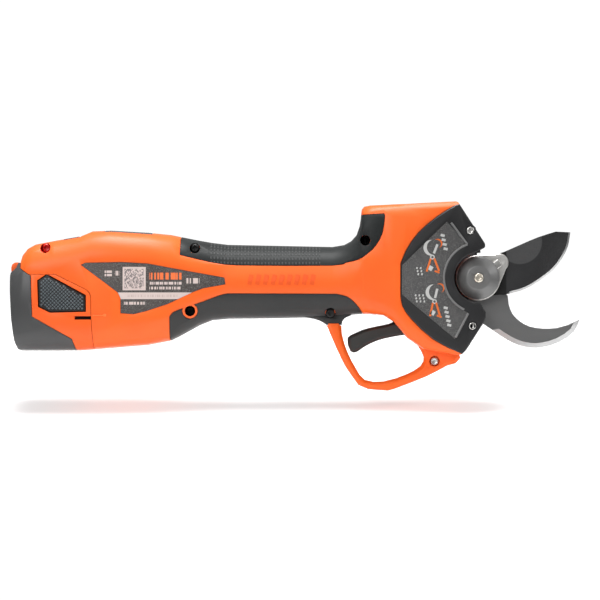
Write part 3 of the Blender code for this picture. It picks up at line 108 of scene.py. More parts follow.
paper_link(paper_fade.outputs["Result"], paper_shader.inputs["Alpha"])


def soft_light(name, place, aim, size, power):
    """A square softbox at a place, turned to face a point."""
    bpy.ops.object.light_add(type="AREA", location=place)
    lamp = bpy.context.active_object
    lamp.name = name
    lamp.data.shape = "SQUARE"
    lamp.data.size = size
    lamp.data.energy = power
    lamp.rotation_euler = (Vector(aim) - Vector(place)).to_track_quat("-Z", "Y").to_euler()
    return lamp


soft_light("top_softbox", (-0.05, -0.10, 0.9), (0, 0, 0.05), 0.42, 11.0)
soft_light("front_softbox", (-0.55, -1.3, 0.65), (0, 0, 0.05), 0.5, 7.5)
soft_light("edge_softbox", (1.0, -0.5, 0.5), (0.08, 0, 0.05), 0.3, 1.6)

# A pale room all round, bright overhead and dim low down, so that steel has something to
# mirror. What shows behind the tool is plain white.
room = bpy.data.worlds.new("pale_room")
bpy.context.scene.world = room
room.use_nodes = True
room_nodes = room.node_tree.nodes
room_link = room.node_tree.links.new
room_light = room_nodes["Background"]
room_way = room_nodes.new("ShaderNodeTexCoord")
room_split = room_nodes.new("ShaderNodeSeparateXYZ")
room_half = room_nodes.new("ShaderNodeMath")
room_half.operation = "MULTIPLY_ADD"
room_half.inputs[1].default_value = 0.5
room_half.inputs[2].default_value = 0.5
room_ramp = room_nodes.new("ShaderNodeValToRGB")
room_ramp.color_ramp.elements[0].position = 0.30
room_ramp.color_ramp.elements[0].color = (0.10, 0.10, 0.10, 1)
room_ramp.color_ramp.elements[1].position = 0.85
room_ramp.color_ramp.elements[1].color = (0.62, 0.62, 0.62, 1)
room_white = room_nodes.new("ShaderNodeBackground")
room_white.inputs["Color"].default_value = (1, 1, 1, 1)
room_white.inputs["Strength"].default_value = 1.05
room_seen = room_nodes.new("ShaderNodeLightPath")
room_pick = room_nodes.new("ShaderNodeMixShader")
room_link(room_way.outputs["Generated"], room_split.inputs["Vector"])
room_link(room_split.outputs["Z"], room_half.inputs[0])
room_link(room_half.outputs["Value"], room_ramp.inputs["Fac"])
room_link(room_ramp.outputs["Color"], room_light.inputs["Color"])
room_link(room_seen.outputs["Is Camera Ray"], room_pick.inputs["Fac"])
room_link(room_light.outputs["Background"], room_pick.inputs[1])
room_link(room_white.outputs["Background"], room_pick.inputs[2])
room_link(room_pick.outputs["Shader"], room_nodes["World Output"].inputs["Surface"])


# ---- Casing halves ------------------------------------------------------------------------
# Two mirrored mouldings in orange glass-filled nylon, screwed together along the middle.
# The surface is finely spark-eroded, satin, with a soft radius on every moulded edge.
def work_on(*pieces):
    """Selects these pieces and nothing else."""
    bpy.ops.object.select_all(action="DESELECT")
    for piece in pieces:
        piece.select_set(True)
    bpy.context.view_layer.objects.active = pieces[-1]


def apply_modifier(piece, kind, **settings):
    """Adds one modifier to a piece and applies it."""
    work_on(piece)
    added = piece.modifiers.new(kind.lower(), kind)
    for key, value in settings.items():
        setattr(added, key, value)
    bpy.ops.object.modifier_apply(modifier=added.name)


def finished(node_name, piece_name, body, edge=0.0, crease=40.0, segments=2):
    """A merged copy of a frame node, its sharp edges eased, that stands in the node's place."""
    piece = bpy.data.objects.new(piece_name, frame["nodes"][node_name].data.copy())
    bpy.context.scene.collection.objects.link(piece)
    piece.data.materials.clear()
    work_on(piece)
    bpy.ops.object.mode_set(mode="EDIT")
    bpy.ops.mesh.select_all(action="SELECT")
    bpy.ops.mesh.customdata_custom_splitnormals_clear()
    bpy.ops.mesh.remove_doubles(threshold=0.000002)
    bpy.ops.mesh.dissolve_limited(angle_limit=math.radians(0.4))
    bpy.ops.object.mode_set(mode="OBJECT")
    if edge:
        apply_modifier(piece, "BEVEL", width=edge, segments=segments, limit_method="ANGLE",
                       angle_limit=math.radians(crease), use_clamp_overlap=True)
    work_on(piece)
    bpy.ops.object.shade_smooth_by_angle(angle=math.radians(crease))
    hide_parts(node_name)
    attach(piece, body)
    return piece


def effect_group(name, inputs, outputs):
    """An empty shader node group: inputs are (name, value), outputs are names."""
    group = bpy.data.node_groups.new(name, "ShaderNodeTree")
    for label, value in inputs:
        socket = group.interface.new_socket(label, in_out="INPUT", socket_type="NodeSocketFloat")
        socket.default_value = value
    for label in outputs:
        group.interface.new_socket(label, in_out="OUTPUT", socket_type="NodeSocketFloat")
    return group, group.nodes.new("NodeGroupInput"), group.nodes.new("NodeGroupOutput")


def math_node(tree, operation, a, b=None, c=None, clamp=False):
    """A Math node; each of a, b and c is a number or a socket. Gives its output socket."""
    made = tree.nodes.new("ShaderNodeMath")
    made.operation = operation
    made.use_clamp = clamp
    for slot, value in enumerate((a, b, c)):
        if value is None:
            continue
        if isinstance(value, (int, float)):
            made.inputs[slot].default_value = value
        else:
            tree.links.new(value, made.inputs[slot])
    return made.outputs["Value"]


def object_axes(tree):
    """The x, y and z sockets of Object coordinates."""
    place = tree.nodes.new("ShaderNodeTexCoord")
    split = tree.nodes.new("ShaderNodeSeparateXYZ")
    tree.links.new(place.outputs["Object"], split.inputs["Vector"])
    return split.outputs["X"], split.outputs["Y"], split.outputs["Z"]


# Fine moulded grain, and slow cloudy variation of tone and gloss.
moulded_grain, grain_in, grain_out = effect_group(
    "moulded_grain", [("Fine Scale", 2600.0), ("Cloud Scale", 28.0)], ["Height", "Tone"]
)
grain_place = moulded_grain.nodes.new("ShaderNodeTexCoord")
for scale, detail, result in (("Fine Scale", 3.0, "Height"), ("Cloud Scale", 5.0, "Tone")):
    noise = moulded_grain.nodes.new("ShaderNodeTexNoise")
    noise.inputs["Detail"].default_value = detail
    moulded_grain.links.new(grain_place.outputs["Object"], noise.inputs["Vector"])
    moulded_grain.links.new(grain_in.outputs[scale], noise.inputs["Scale"])
    moulded_grain.links.new(noise.outputs["Fac"], grain_out.inputs[result])


def ramp(tree, factor, stops, smooth=False):
    """A colour ramp from (position, colour) stops. Gives its colour socket."""
    made = tree.nodes.new("ShaderNodeValToRGB")
    if smooth:
        made.color_ramp.interpolation = "EASE"
    elements = made.color_ramp.elements
    while len(elements) < len(stops):
        elements.new(0.5)
    for element, (position, colour) in zip(elements, stops):
        element.position = position
        element.color = (*colour, 1)
    tree.links.new(factor, made.inputs["Fac"])
    return made.outputs["Color"]


def mixed(tree, factor, first, second):
    """Blends two colours, each a socket or a colour, by a factor socket."""
    made = tree.nodes.new("ShaderNodeMix")
    made.data_type = "RGBA"
    tree.links.new(factor, made.inputs["Factor"])
    for socket, value in (("A", first), ("B", second)):
        inlet = [s for s in made.inputs if s.name == socket and s.type == "RGBA"][0]
        if isinstance(value, tuple):
            inlet.default_value = (*value, 1)
        else:
            tree.links.new(value, inlet)
    return [s for s in made.outputs if s.type == "RGBA"][0]


def new_finish(name, roughness, metallic=0.0):
    """A material, its node tree and its Principled shader."""
    finish = bpy.data.materials.new(name)
    finish.use_nodes = True
    shader = finish.node_tree.nodes["Principled BSDF"]
    shader.inputs["Roughness"].default_value = roughness
    shader.inputs["Metallic"].default_value = metallic
    return finish, finish.node_tree, shader


def add_bump(tree, shader, height, strength, distance):
    """Feeds a height socket to the shader's normal."""
    relief = tree.nodes.new("ShaderNodeBump")
    relief.inputs["Strength"].default_value = strength
    relief.inputs["Distance"].default_value = distance
    tree.links.new(height, relief.inputs["Height"])
    tree.links.new(relief.outputs["Normal"], shader.inputs["Normal"])
    return relief


def moulded(name, dark, light, roughness, bump=0.2, grain=2600.0, spread=0.05):
    """A moulded finish: two close tones, gloss that wanders a little, and fine grain."""
    finish, tree, shader = new_finish(name, roughness)
    shader.inputs["Specular IOR Level"].default_value = 0.36
    texture = tree.nodes.new("ShaderNodeGroup")
    texture.node_tree = moulded_grain
    texture.inputs["Fine Scale"].default_value = grain
    colour = ramp(tree, texture.outputs["Tone"], [(0.3, dark), (0.7, light)])
    tree.links.new(colour, shader.inputs["Base Color"])
    gloss = tree.nodes.new("ShaderNodeMapRange")
    gloss.inputs["To Min"].default_value = roughness - spread
    gloss.inputs["To Max"].default_value = roughness + spread
    tree.links.new(texture.outputs["Tone"], gloss.inputs["Value"])
    tree.links.new(gloss.outputs["Result"], shader.inputs["Roughness"])
    add_bump(tree, shader, texture.outputs["Height"], bump, 0.0001)
    return finish, tree, shader, colour, texture


# The wells that the screws sit in: dark all the way down where rubber lines them. The rearmost, walled in
# orange only, is painted a deep red as its shade and the light bounced off its walls.
well_mask, well_in, well_out = effect_group(
    "well_mask", [("Centre X", 0.0), ("Centre Z", 0.0), ("Radius", 0.003)], ["Mask", "Lining"]
)
well_x, well_y, well_z = object_axes(well_mask)
well_dx = math_node(well_mask, "SUBTRACT", well_x, well_in.outputs["Centre X"])
well_dz = math_node(well_mask, "SUBTRACT", well_z, well_in.outputs["Centre Z"])
well_far = math_node(
    well_mask, "SQRT",
    math_node(well_mask, "MULTIPLY_ADD", well_dx, well_dx,
              math_node(well_mask, "MULTIPLY", well_dz, well_dz)),
)
well_near = math_node(well_mask, "LESS_THAN", well_far, well_in.outputs["Radius"])
well_mask.links.new(well_near, well_out.inputs["Mask"])
# the lining is only the wall, which faces the screw, and the seat deep under the head
well_facing = well_mask.nodes.new("ShaderNodeTexCoord")
well_normal = well_mask.nodes.new("ShaderNodeSeparateXYZ")
well_mask.links.new(well_facing.outputs["Normal"], well_normal.inputs["Vector"])
well_toward = math_node(
    well_mask, "MULTIPLY_ADD", well_dx, well_normal.outputs["X"],
    math_node(well_mask, "MULTIPLY", well_dz, well_normal.outputs["Z"]),
)
WALL_FACES_IN = -0.002
SEAT_FACES_OUT = -0.9
DEEPER_THAN = -0.0125
well_wall = math_node(well_mask, "LESS_THAN", well_toward, WALL_FACES_IN)
well_seat = math_node(
    well_mask, "MULTIPLY", math_node(well_mask, "LESS_THAN", well_normal.outputs["Y"], SEAT_FACES_OUT),
    math_node(well_mask, "GREATER_THAN", well_y, DEEPER_THAN),
)
well_lined = math_node(well_mask, "MAXIMUM", well_wall, well_seat)
well_mask.links.new(math_node(well_mask, "MULTIPLY", well_near, well_lined), well_out.inputs["Lining"])

WELL_RADIUS = 0.00312
# painted shade: the deep red of shade and bounced light, painted on the rearmost well's wall and seat
RED_WELL_SHADE = (0.55, 0.012, 0.006)
DARK_WELL = (0.012, 0.010, 0.010)
NOTCH_SHADE_REACH = 0.0158
FRONT_SHADE_X = 0.0966
orange_shell, shell_tree, shell_shader, shell_colour = moulded(
    "orange_shell", (0.850, 0.108, 0.008), (0.900, 0.128, 0.011), 0.43
)[:4]
for screw in range(1, 6):
    low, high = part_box("housing_screw_%d" % screw)
    mask = shell_tree.nodes.new("ShaderNodeGroup")
    mask.node_tree = well_mask
    mask.inputs["Centre X"].default_value = (low.x + high.x) / 2
    mask.inputs["Centre Z"].default_value = (low.z + high.z) / 2
    mask.inputs["Radius"].default_value = WELL_RADIUS
    # the rearmost well takes the painted red shade, the others the dark of their rubber lining
    rubber_lining_and_red_shade = RED_WELL_SHADE if screw == 1 else DARK_WELL
    shell_colour = mixed(shell_tree, mask.outputs["Lining"], shell_colour, rubber_lining_and_red_shade)
# painted shade: the orange casing within reach of the pivot, in shadow in the head's notch, is painted a dark
# red-brown
notch_shade = shell_tree.nodes.new("ShaderNodeGroup")
notch_shade.node_tree = well_mask
notch_low, notch_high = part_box("pivot_nut")
notch_shade.inputs["Centre X"].default_value = (notch_low.x + notch_high.x) / 2
notch_shade.inputs["Centre Z"].default_value = (notch_low.z + notch_high.z) / 2
notch_shade.inputs["Radius"].default_value = NOTCH_SHADE_REACH
shell_colour = mixed(shell_tree, notch_shade.outputs["Mask"], shell_colour, (0.05, 0.006, 0.004))
# painted shade: the orange casing past this front line, where it lies in shadow, is painted near black
front_shade = math_node(shell_tree, "GREATER_THAN", object_axes(shell_tree)[0], FRONT_SHADE_X)
shell_colour = mixed(shell_tree, front_shade, shell_colour, (0.014, 0.012, 0.012))
shell_tree.links.new(shell_colour, shell_shader.inputs["Base Color"])

casing = {}
for side in ("right", "left"):
    casing[side] = finished("housing_" + side, "casing_" + side, "casing", edge=0.00035)
    casing[side].data.materials.append(orange_shell)


# ---- Raised marks on the casing -----------------------------------------------------------
# Low relief moulded with each half: a row of slanted bars along the grip, and a fine
# witness line that runs on from the latch slot to a dot.
def place_flat(name, x, z, width, height, lean=0.0, cuts=6, right=True):
    """A flat rectangle that faces out from one side of the tool, leaning by an angle."""
    side_y = -0.04 if right else 0.04
    bpy.ops.object.select_all(action="DESELECT")
    bpy.ops.mesh.primitive_plane_add(size=1, location=(x, side_y, z),
                                     rotation=(math.radians(90 if right else -90), lean, 0))
    flat = bpy.context.active_object
    flat.name = name
    flat.scale = (width, height, 1)
    bpy.ops.object.transform_apply(location=True, rotation=True, scale=True)
    bpy.ops.object.mode_set(mode="EDIT")
    bpy.ops.mesh.select_all(action="SELECT")
    bpy.ops.mesh.subdivide(number_cuts=cuts)
    bpy.ops.object.mode_set(mode="OBJECT")
    return flat


def press_onto(flat, target, lift, thickness, right=True):
    """Presses a flat piece onto a surface along y, then gives it its thickness."""
    apply_modifier(flat, "SHRINKWRAP", target=target, wrap_method="PROJECT", use_project_y=True,
                   use_positive_direction=right, use_negative_direction=not right, offset=lift)
    apply_modifier(flat, "SOLIDIFY", thickness=thickness, offset=1.0)
    work_on(flat)
    bpy.ops.object.shade_smooth_by_angle(angle=math.radians(40))


def joined(name, pieces):
    """Joins pieces into one, under a new name."""
    work_on(*pieces)
    bpy.ops.object.join()
    whole = bpy.context.active_object
    whole.name = name
    return whole


BAR_COUNT = 9
BAR_PITCH = 0.00435
# painted shade: the bars are moulded in the casing's orange and painted darker as the shade on the relief
relief_orange = moulded("relief_orange", (0.730, 0.078, 0.006), (0.780, 0.090, 0.008), 0.5)[0]
# painted highlight: the witness line and dot are painted a paler orange as the light on the fine rib
witness_orange = moulded("witness_orange", (0.900, 0.190, 0.040), (0.940, 0.220, 0.050), 0.4)[0]
for side in ("right", "left"):
    right = side == "right"
    relief = []
    for count in range(BAR_COUNT):
        relief.append(place_flat("bar", -0.0255 + count * BAR_PITCH, 0.0621, 0.0024, 0.0056,
                                 lean=math.radians(12 if right else -12), cuts=4, right=right))
    witness = [place_flat("line", -0.1098, 0.0423, 0.0066, 0.0005, cuts=6, right=right),
               place_flat("dot", -0.1064, 0.0424, 0.0015, 0.0015, cuts=3, right=right)]
    for name, pieces, ink in (("raised_bars_", relief, relief_orange),
                              ("witness_line_", witness, witness_orange)):
        marks = joined(name + side, pieces)
        press_onto(marks, casing[side], 0.00002, 0.0003, right)
        marks.data.materials.append(ink)
        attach(marks, "casing")


# ---- Grip rubber --------------------------------------------------------------------------
# Soft dark overmoulding on the back and belly of the grip and up the horn behind the head.
# The back carries a band of small raised pips; the horn and the belly are smooth.
PIP_PITCH = 0.0019
PIP_AXIS_Z = 0.0610
PIP_ROUND = 0.0165
pips, pips_in, pips_out = effect_group(
    "raised_pips", [("From X", -0.049), ("To X", 0.0135), ("Pitch", PIP_PITCH)], ["Height"]
)
pip_x, pip_y, pip_z = object_axes(pips)
pip_turn = math_node(pips, "ARCTAN2", math_node(pips, "SUBTRACT", pip_z, PIP_AXIS_Z), pip_y)
pip_across = math_node(pips, "MULTIPLY", pip_turn, PIP_ROUND * math.pi * 2)
pip_u = math_node(pips, "DIVIDE", math_node(pips, "MULTIPLY", pip_x, math.pi * 2), pips_in.outputs["Pitch"])
pip_v = math_node(pips, "DIVIDE", math_node(pips, "MULTIPLY", pip_across, 0.8), pips_in.outputs["Pitch"])
pip_wave = math_node(
    pips, "MULTIPLY", math_node(pips, "COSINE", math_node(pips, "MULTIPLY", pip_u, 0.5)),
    math_node(pips, "COSINE", math_node(pips, "MULTIPLY", pip_v, 0.5)),
)
pip_peak = pips.nodes.new("ShaderNodeMapRange")
pip_peak.interpolation_type = "SMOOTHSTEP"
pip_peak.inputs["From Min"].default_value = 0.42
pip_peak.inputs["From Max"].default_value = 0.85
pips.links.new(math_node(pips, "ABSOLUTE", pip_wave), pip_peak.inputs["Value"])
pip_after = math_node(pips, "GREATER_THAN", pip_x, pips_in.outputs["From X"])
pip_before = math_node(pips, "LESS_THAN", pip_x, pips_in.outputs["To X"])
pips.links.new(
    math_node(pips, "MULTIPLY", pip_peak.outputs["Result"],
              math_node(pips, "MULTIPLY", pip_after, pip_before)),
    pips_out.inputs["Height"],
)

belly_rubber = moulded("belly_rubber", (0.020, 0.021, 0.021), (0.027, 0.028, 0.028), 0.55, 0.35, 1900.0)[0]
back_rubber, back_tree, back_shader, back_colour = moulded(
    "back_rubber", (0.014, 0.016, 0.016), (0.022, 0.024, 0.024), 0.46, 0.3, 1900.0
)[:4]
back_pips_and_glints = back_tree.nodes.new("ShaderNodeGroup")
back_pips_and_glints.node_tree = pips
# painted highlight: the pip tops are painted lighter as the glints on them; the bump gives their relief
back_tree.links.new(
    mixed(back_tree, back_pips_and_glints.outputs["Height"], back_colour, (0.055, 0.057, 0.057)),
    back_shader.inputs["Base Color"],
)
back_shader.inputs["Specular IOR Level"].default_value = 0.15
add_bump(back_tree, back_shader, back_pips_and_glints.outputs["Height"], 0.8, 0.0003)
for side in ("right", "left"):
    for level, rubber_finish in (("top", back_rubber), ("bottom", belly_rubber)):
        rubber = finished("grip_%s_%s" % (level, side), "rubber_%s_%s" % (level, side), "casing", edge=0.0004)
        rubber.data.materials.append(rubber_finish)


# ---- Battery pack -------------------------------------------------------------------------
# An orange pack shell wrapped at the back and underneath by a dark grey cap, with a small
# orange plug over the charging socket. Welded mouldings, with a crisp edge between them.
orange_pack = moulded("orange_pack", (0.830, 0.100, 0.008), (0.880, 0.120, 0.010), 0.45)[0]
# painted shade: the faces inside the latch slot are painted near black as the shade deep in it
deep_slot = moulded("deep_slot", (0.006, 0.004, 0.004), (0.010, 0.006, 0.005), 0.7)[0]
cap_grey = moulded("cap_grey", (0.052, 0.053, 0.054), (0.066, 0.067, 0.068), 0.40)[0]
LATCH_Z = 0.04085
pack = finished("battery_shell", "pack_shell", "battery", edge=0.0004)
pack.data.materials.append(orange_pack)
pack.data.materials.append(deep_slot)
for face in pack.data.polygons:
    in_slot = abs(face.center.z - LATCH_Z) < 0.00094 and -0.1231 < face.center.x < -0.1130
    face.material_index = 1 if in_slot and abs(face.center.y) < 0.0255 else 0
cap = finished("battery_cap", "pack_cap", "battery", edge=0.0004)
cap.data.materials.append(cap_grey)
plug = finished("charge_port_plug", "charge_plug", "battery", edge=0.0008, segments=3)
plug.data.materials.append(orange_pack)


# ---- Release buttons ----------------------------------------------------------------------
# A dark rubber-faced button on each side of the pack, pressed in to free it. The face is
# cut all over into small slanted diamonds for the thumb.
STUD_PITCH = 0.00205
STUD_RADIUS = 0.00080
STUD_LIFT = 0.0002
# painted highlight: the studs are the button's dark rubber, painted a pale blue-grey as the light on their
# faces
stud_rubber = moulded("stud_rubber", (0.100, 0.118, 0.128), (0.140, 0.158, 0.170), 0.40, 0.2)[0]
button_rubber = moulded("button_rubber", (0.008, 0.009, 0.010), (0.012, 0.013, 0.014), 0.5, 0.3)[0]
for side in ("right", "left"):
    sign = -1 if side == "right" else 1
    button = finished("release_button_" + side, "release_button_%s_cap" % side, "release_" + side,
                      edge=0.0003)
    button.data.materials.append(button_rubber)
    low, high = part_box("release_button_" + side)
    face_y = low.y if side == "right" else high.y
    bpy.ops.object.select_all(action="DESELECT")
    bpy.ops.mesh.primitive_cone_add(vertices=4, radius1=STUD_RADIUS, radius2=STUD_RADIUS * 0.55, depth=0.0005,
                                    location=(0, 0, 0), rotation=(-sign * math.radians(90), 0, 0))
    stud = bpy.context.active_object
    bpy.ops.object.transform_apply(location=True, rotation=True, scale=True)
    studs = []
    rows = int((high.z - low.z) / STUD_PITCH) + 1
    columns = int((high.x - low.x) / STUD_PITCH) + 1
    for row in range(rows * 2):
        for column in range(columns):
            x = low.x + (column + 0.5 * (row % 2)) * STUD_PITCH
            z = low.z + row * STUD_PITCH * 0.5
            reach = STUD_RADIUS * 1.25
            on_face = True
            for dx, dz in ((reach, 0), (-reach, 0), (0, reach), (0, -reach)):
                hit, point = button.ray_cast((x + dx, sign * 0.05, z + dz), (0, -sign, 0))[:2]
                on_face = on_face and hit and abs(point.y - face_y) < 0.0002
            if on_face:
                one = bpy.data.objects.new("stud", stud.data.copy())
                one.data.transform(Matrix.Translation((x, face_y + sign * STUD_LIFT, z)))
                bpy.context.scene.collection.objects.link(one)
                studs.append(one)
    bpy.data.objects.remove(stud)
    field = joined("release_studs_" + side, studs)
    field.data.materials.append(stud_rubber)
    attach(field, "release_" + side)


# ---- Rating label -------------------------------------------------------------------------
# A dark speckled film let into the body on each side, printed in white and orange with
# rows of plain marks. No words: bars stand where lines of print would be.
patch, patch_in, patch_out = effect_group(
    "printed_patch", [("Left", 0.0), ("Right", 0.0), ("Low", 0.0), ("High", 0.0)], ["Mask"]
)
patch_x, _, patch_z = object_axes(patch)
patch.links.new(
    math_node(
        patch, "MULTIPLY",
        math_node(patch, "MULTIPLY", math_node(patch, "GREATER_THAN", patch_x, patch_in.outputs["Left"]),
                  math_node(patch, "LESS_THAN", patch_x, patch_in.outputs["Right"])),
        math_node(patch, "MULTIPLY", math_node(patch, "GREATER_THAN", patch_z, patch_in.outputs["Low"]),
                  math_node(patch, "LESS_THAN", patch_z, patch_in.outputs["High"])),
    ),
    patch_out.inputs["Mask"],
)


def printed(tree, left, right, low, high):
    """The mask socket of one printed rectangle, sized in millimetres."""
    made = tree.nodes.new("ShaderNodeGroup")
    made.node_tree = patch
    for label, value in (("Left", left), ("Right", right), ("Low", low), ("High", high)):
        made.inputs[label].default_value = value * 0.001
    return made.outputs["Mask"]


def speckled(name, dark, light, roughness):
    """A printed film: dark ground with a fine pale speckle."""
    finish, tree, shader, colour, texture = moulded(name, dark, light, roughness, 0.25, 1500.0)
    place = tree.nodes.new("ShaderNodeTexCoord")
    fleck = tree.nodes.new("ShaderNodeTexNoise")
    fleck.inputs["Scale"].default_value = 2400
    fleck.inputs["Detail"].default_value = 1
    tree.links.new(place.outputs["Object"], fleck.inputs["Vector"])
    spots = tree.nodes.new("ShaderNodeMapRange")
    spots.inputs["From Min"].default_value = 0.50
    spots.inputs["From Max"].default_value = 0.72
    tree.links.new(fleck.outputs["Fac"], spots.inputs["Value"])
    colour = mixed(tree, spots.outputs["Result"], colour, (0.17, 0.165, 0.16))
    return finish, tree, shader, colour


PRINT_WHITE = (0.60, 0.50, 0.47)
PRINT_ORANGE = (0.80, 0.17, 0.05)
label_film, label_tree, label_shader, label_colour = speckled(
    "label_film", (0.042, 0.034, 0.032), (0.066, 0.056, 0.052), 0.45
)
dash_x, _, dash_z = object_axes(label_tree)


def dashes(tree, x_socket, pitch, share, seed):
    """Breaks a printed line into short marks of uneven length."""
    cells = tree.nodes.new("ShaderNodeTexNoise")
    cells.noise_dimensions = "1D"
    cells.inputs["Detail"].default_value = 0
    cells.inputs["Scale"].default_value = 1000.0 / pitch
    tree.links.new(math_node(tree, "ADD", x_socket, seed), cells.inputs["W"])
    return math_node(tree, "GREATER_THAN", cells.outputs["Fac"], share)


# the code block: a pale frame round a field of small dark cells
block = printed(label_tree, -96.4, -83.6, 56.2, 69.2)
field = printed(label_tree, -95.4, -84.6, 57.2, 68.2)
checks = label_tree.nodes.new("ShaderNodeTexNoise")
checks.inputs["Scale"].default_value = 1.0
checks.inputs["Detail"].default_value = 0
cell_x = math_node(label_tree, "FLOOR", math_node(label_tree, "MULTIPLY", dash_x, 1850.0))
cell_z = math_node(label_tree, "FLOOR", math_node(label_tree, "MULTIPLY", dash_z, 1850.0))
cell_at = label_tree.nodes.new("ShaderNodeCombineXYZ")
label_tree.links.new(math_node(label_tree, "MULTIPLY", cell_x, 1.37), cell_at.inputs["X"])
label_tree.links.new(math_node(label_tree, "MULTIPLY", cell_z, 1.61), cell_at.inputs["Z"])
label_tree.links.new(cell_at.outputs["Vector"], checks.inputs["Vector"])
dark_cell = math_node(label_tree, "GREATER_THAN", checks.outputs["Fac"], 0.50)
code_holes = math_node(label_tree, "MULTIPLY", field, dark_cell)
label_colour = mixed(label_tree, block, label_colour, PRINT_WHITE)
label_colour = mixed(label_tree, code_holes, label_colour, (0.20, 0.17, 0.17))
# the white band, and the lines of marks above and below it
label_colour = mixed(label_tree, printed(label_tree, -99.0, -57.0, 51.3, 55.0), label_colour, PRINT_WHITE)
LINES = [
    (-94.0, -66.0, 52.4, 53.8, 0.9, 0.52, (0.50, 0.40, 0.37)),
    (-96.0, -84.0, 48.2, 49.8, 0.9, 0.46, PRINT_WHITE),
    (-81.6, -63.8, 62.2, 66.0, 1.5, 0.42, PRINT_ORANGE),
    (-81.6, -63.8, 59.4, 60.9, 0.8, 0.42, PRINT_WHITE),
    (-81.6, -64.4, 56.7, 58.2, 0.9, 0.45, PRINT_WHITE),
    (-106.4, -102.4, 65.9, 67.2, 0.8, 0.40, PRINT_WHITE),
    (-106.4, -102.4, 64.0, 65.3, 0.8, 0.40, PRINT_WHITE),
    (-61.6, -58.4, 60.0, 63.0, 0.9, 0.45, PRINT_WHITE),
    (-57.4, -53.8, 60.0, 63.0, 0.9, 0.38, PRINT_WHITE),
    (-100.6, -97.9, 64.4, 67.0, 0.7, 0.50, PRINT_WHITE),
]
for number, (left, right_end, low, high, pitch, share, ink) in enumerate(LINES):
    line = printed(label_tree, left, right_end, low, high)
    marks = math_node(label_tree, "MULTIPLY", line, dashes(label_tree, dash_x, pitch, share, number * 0.37))
    label_colour = mixed(label_tree, marks, label_colour, ink)
label_tree.links.new(label_colour, label_shader.inputs["Base Color"])

badge_film, badge_tree, badge_shader, badge_colour = speckled(
    "badge_film", (0.042, 0.034, 0.032), (0.066, 0.056, 0.052), 0.45
)
for step in range(3):
    badge_colour = mixed(badge_tree, printed(badge_tree, -96.0 + 9 * step, -90.0 + 9 * step, 54.0, 66.0),
                         badge_colour, PRINT_ORANGE if step == 1 else PRINT_WHITE)
badge_tree.links.new(badge_colour, badge_shader.inputs["Base Color"])
for node_name, piece_name, film in (("rating_label", "rating_film", label_film),
                                    ("side_badge", "badge_film_left", badge_film)):
    sticker = finished(node_name, piece_name, "casing")
    sticker.data.materials.append(film)


# ---- Display strip and power button -------------------------------------------------------
# Dark inserts in the top of the body, flush with it: a smoked display window and, on the
# slope behind it, the power button.
smoked = moulded("smoked_window", (0.020, 0.020, 0.022), (0.028, 0.028, 0.030), 0.16, 0.05)[0]
soft_black = moulded("soft_black", (0.030, 0.030, 0.031), (0.040, 0.040, 0.041), 0.5)[0]
display = finished("display_panel", "display_window", "casing", edge=0.0003)
display.data.materials.append(smoked)
power = finished("power_button", "power_button_cap", "power_key", edge=0.0005)
power.data.materials.append(soft_black)


# ---- Head covers --------------------------------------------------------------------------
# Black glass-filled nylon plates screwed to the sides of the head. The right one is let in
# for the instruction panel and has a rounded bead along the panel's front edge.
cover_black = moulded("cover_black", (0.011, 0.011, 0.012), (0.020, 0.020, 0.021), 0.40, 0.4, 1600.0)[0]
# painted highlight: the bead is the cover's black plastic, painted grey as the highlight along it
bead_grey = moulded("bead_grey", (0.13, 0.13, 0.13), (0.19, 0.19, 0.19), 0.30, 0.2)[0]
for side in ("right", "left"):
    cover = finished("head_cover_" + side, "cover_" + side, "casing", edge=0.0006, segments=3)
    cover.data.materials.append(cover_black)

nut_low, nut_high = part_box("pivot_nut")
PIVOT = Vector(((nut_low.x + nut_high.x) / 2, 0.0, (nut_low.z + nut_high.z) / 2))
COVER_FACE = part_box("head_cover_right")[0].y
BEAD_REACH = 0.0196
BEAD_RADIUS = 0.00062
bpy.ops.object.select_all(action="DESELECT")
start = math.radians(109)
bpy.ops.mesh.primitive_circle_add(
    vertices=10, radius=BEAD_RADIUS,
    location=(PIVOT.x + BEAD_REACH * math.cos(start), COVER_FACE, PIVOT.z + BEAD_REACH * math.sin(start)),
    rotation=(0, -start, 0),
)
bead = bpy.context.active_object
bpy.ops.object.transform_apply(location=True, rotation=True, scale=True)
bpy.ops.object.mode_set(mode="EDIT")
bpy.ops.mesh.select_all(action="SELECT")
bpy.ops.mesh.spin(steps=28, angle=math.radians(136), center=(PIVOT.x, COVER_FACE, PIVOT.z), axis=(0, 1, 0))
bpy.ops.object.mode_set(mode="OBJECT")
bead_parts = [bead]
for name, x1, z1, x2, z2 in (("upper", 86.4, 93.9, 95.4, 81.9), ("lower", 96.0, 43.4, 88.9, 29.9)):
    span = Vector((x2 - x1, 0, z2 - z1)) * 0.001
    bpy.ops.object.select_all(action="DESELECT")
    bpy.ops.mesh.primitive_cylinder_add(
        vertices=10, radius=BEAD_RADIUS, depth=span.length,
        location=((x1 + x2) * 0.0005, COVER_FACE, (z1 + z2) * 0.0005),
        rotation=span.to_track_quat("Z", "Y").to_euler(),
    )
    bar = bpy.context.active_object
    bpy.ops.object.transform_apply(location=True, rotation=True, scale=True)
    bead_parts.append(bar)
bead = joined("panel_bead", bead_parts)
bpy.ops.object.mode_set(mode="EDIT")
bpy.ops.mesh.select_all(action="SELECT")
bpy.ops.mesh.remove_doubles(threshold=0.000005)
bpy.ops.mesh.fill_holes(sides=12)
bpy.ops.mesh.normals_make_consistent(inside=False)
bpy.ops.object.mode_set(mode="OBJECT")
bpy.ops.object.shade_smooth_by_angle(angle=math.radians(50))
bead.data.materials.append(bead_grey)
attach(bead, "casing")


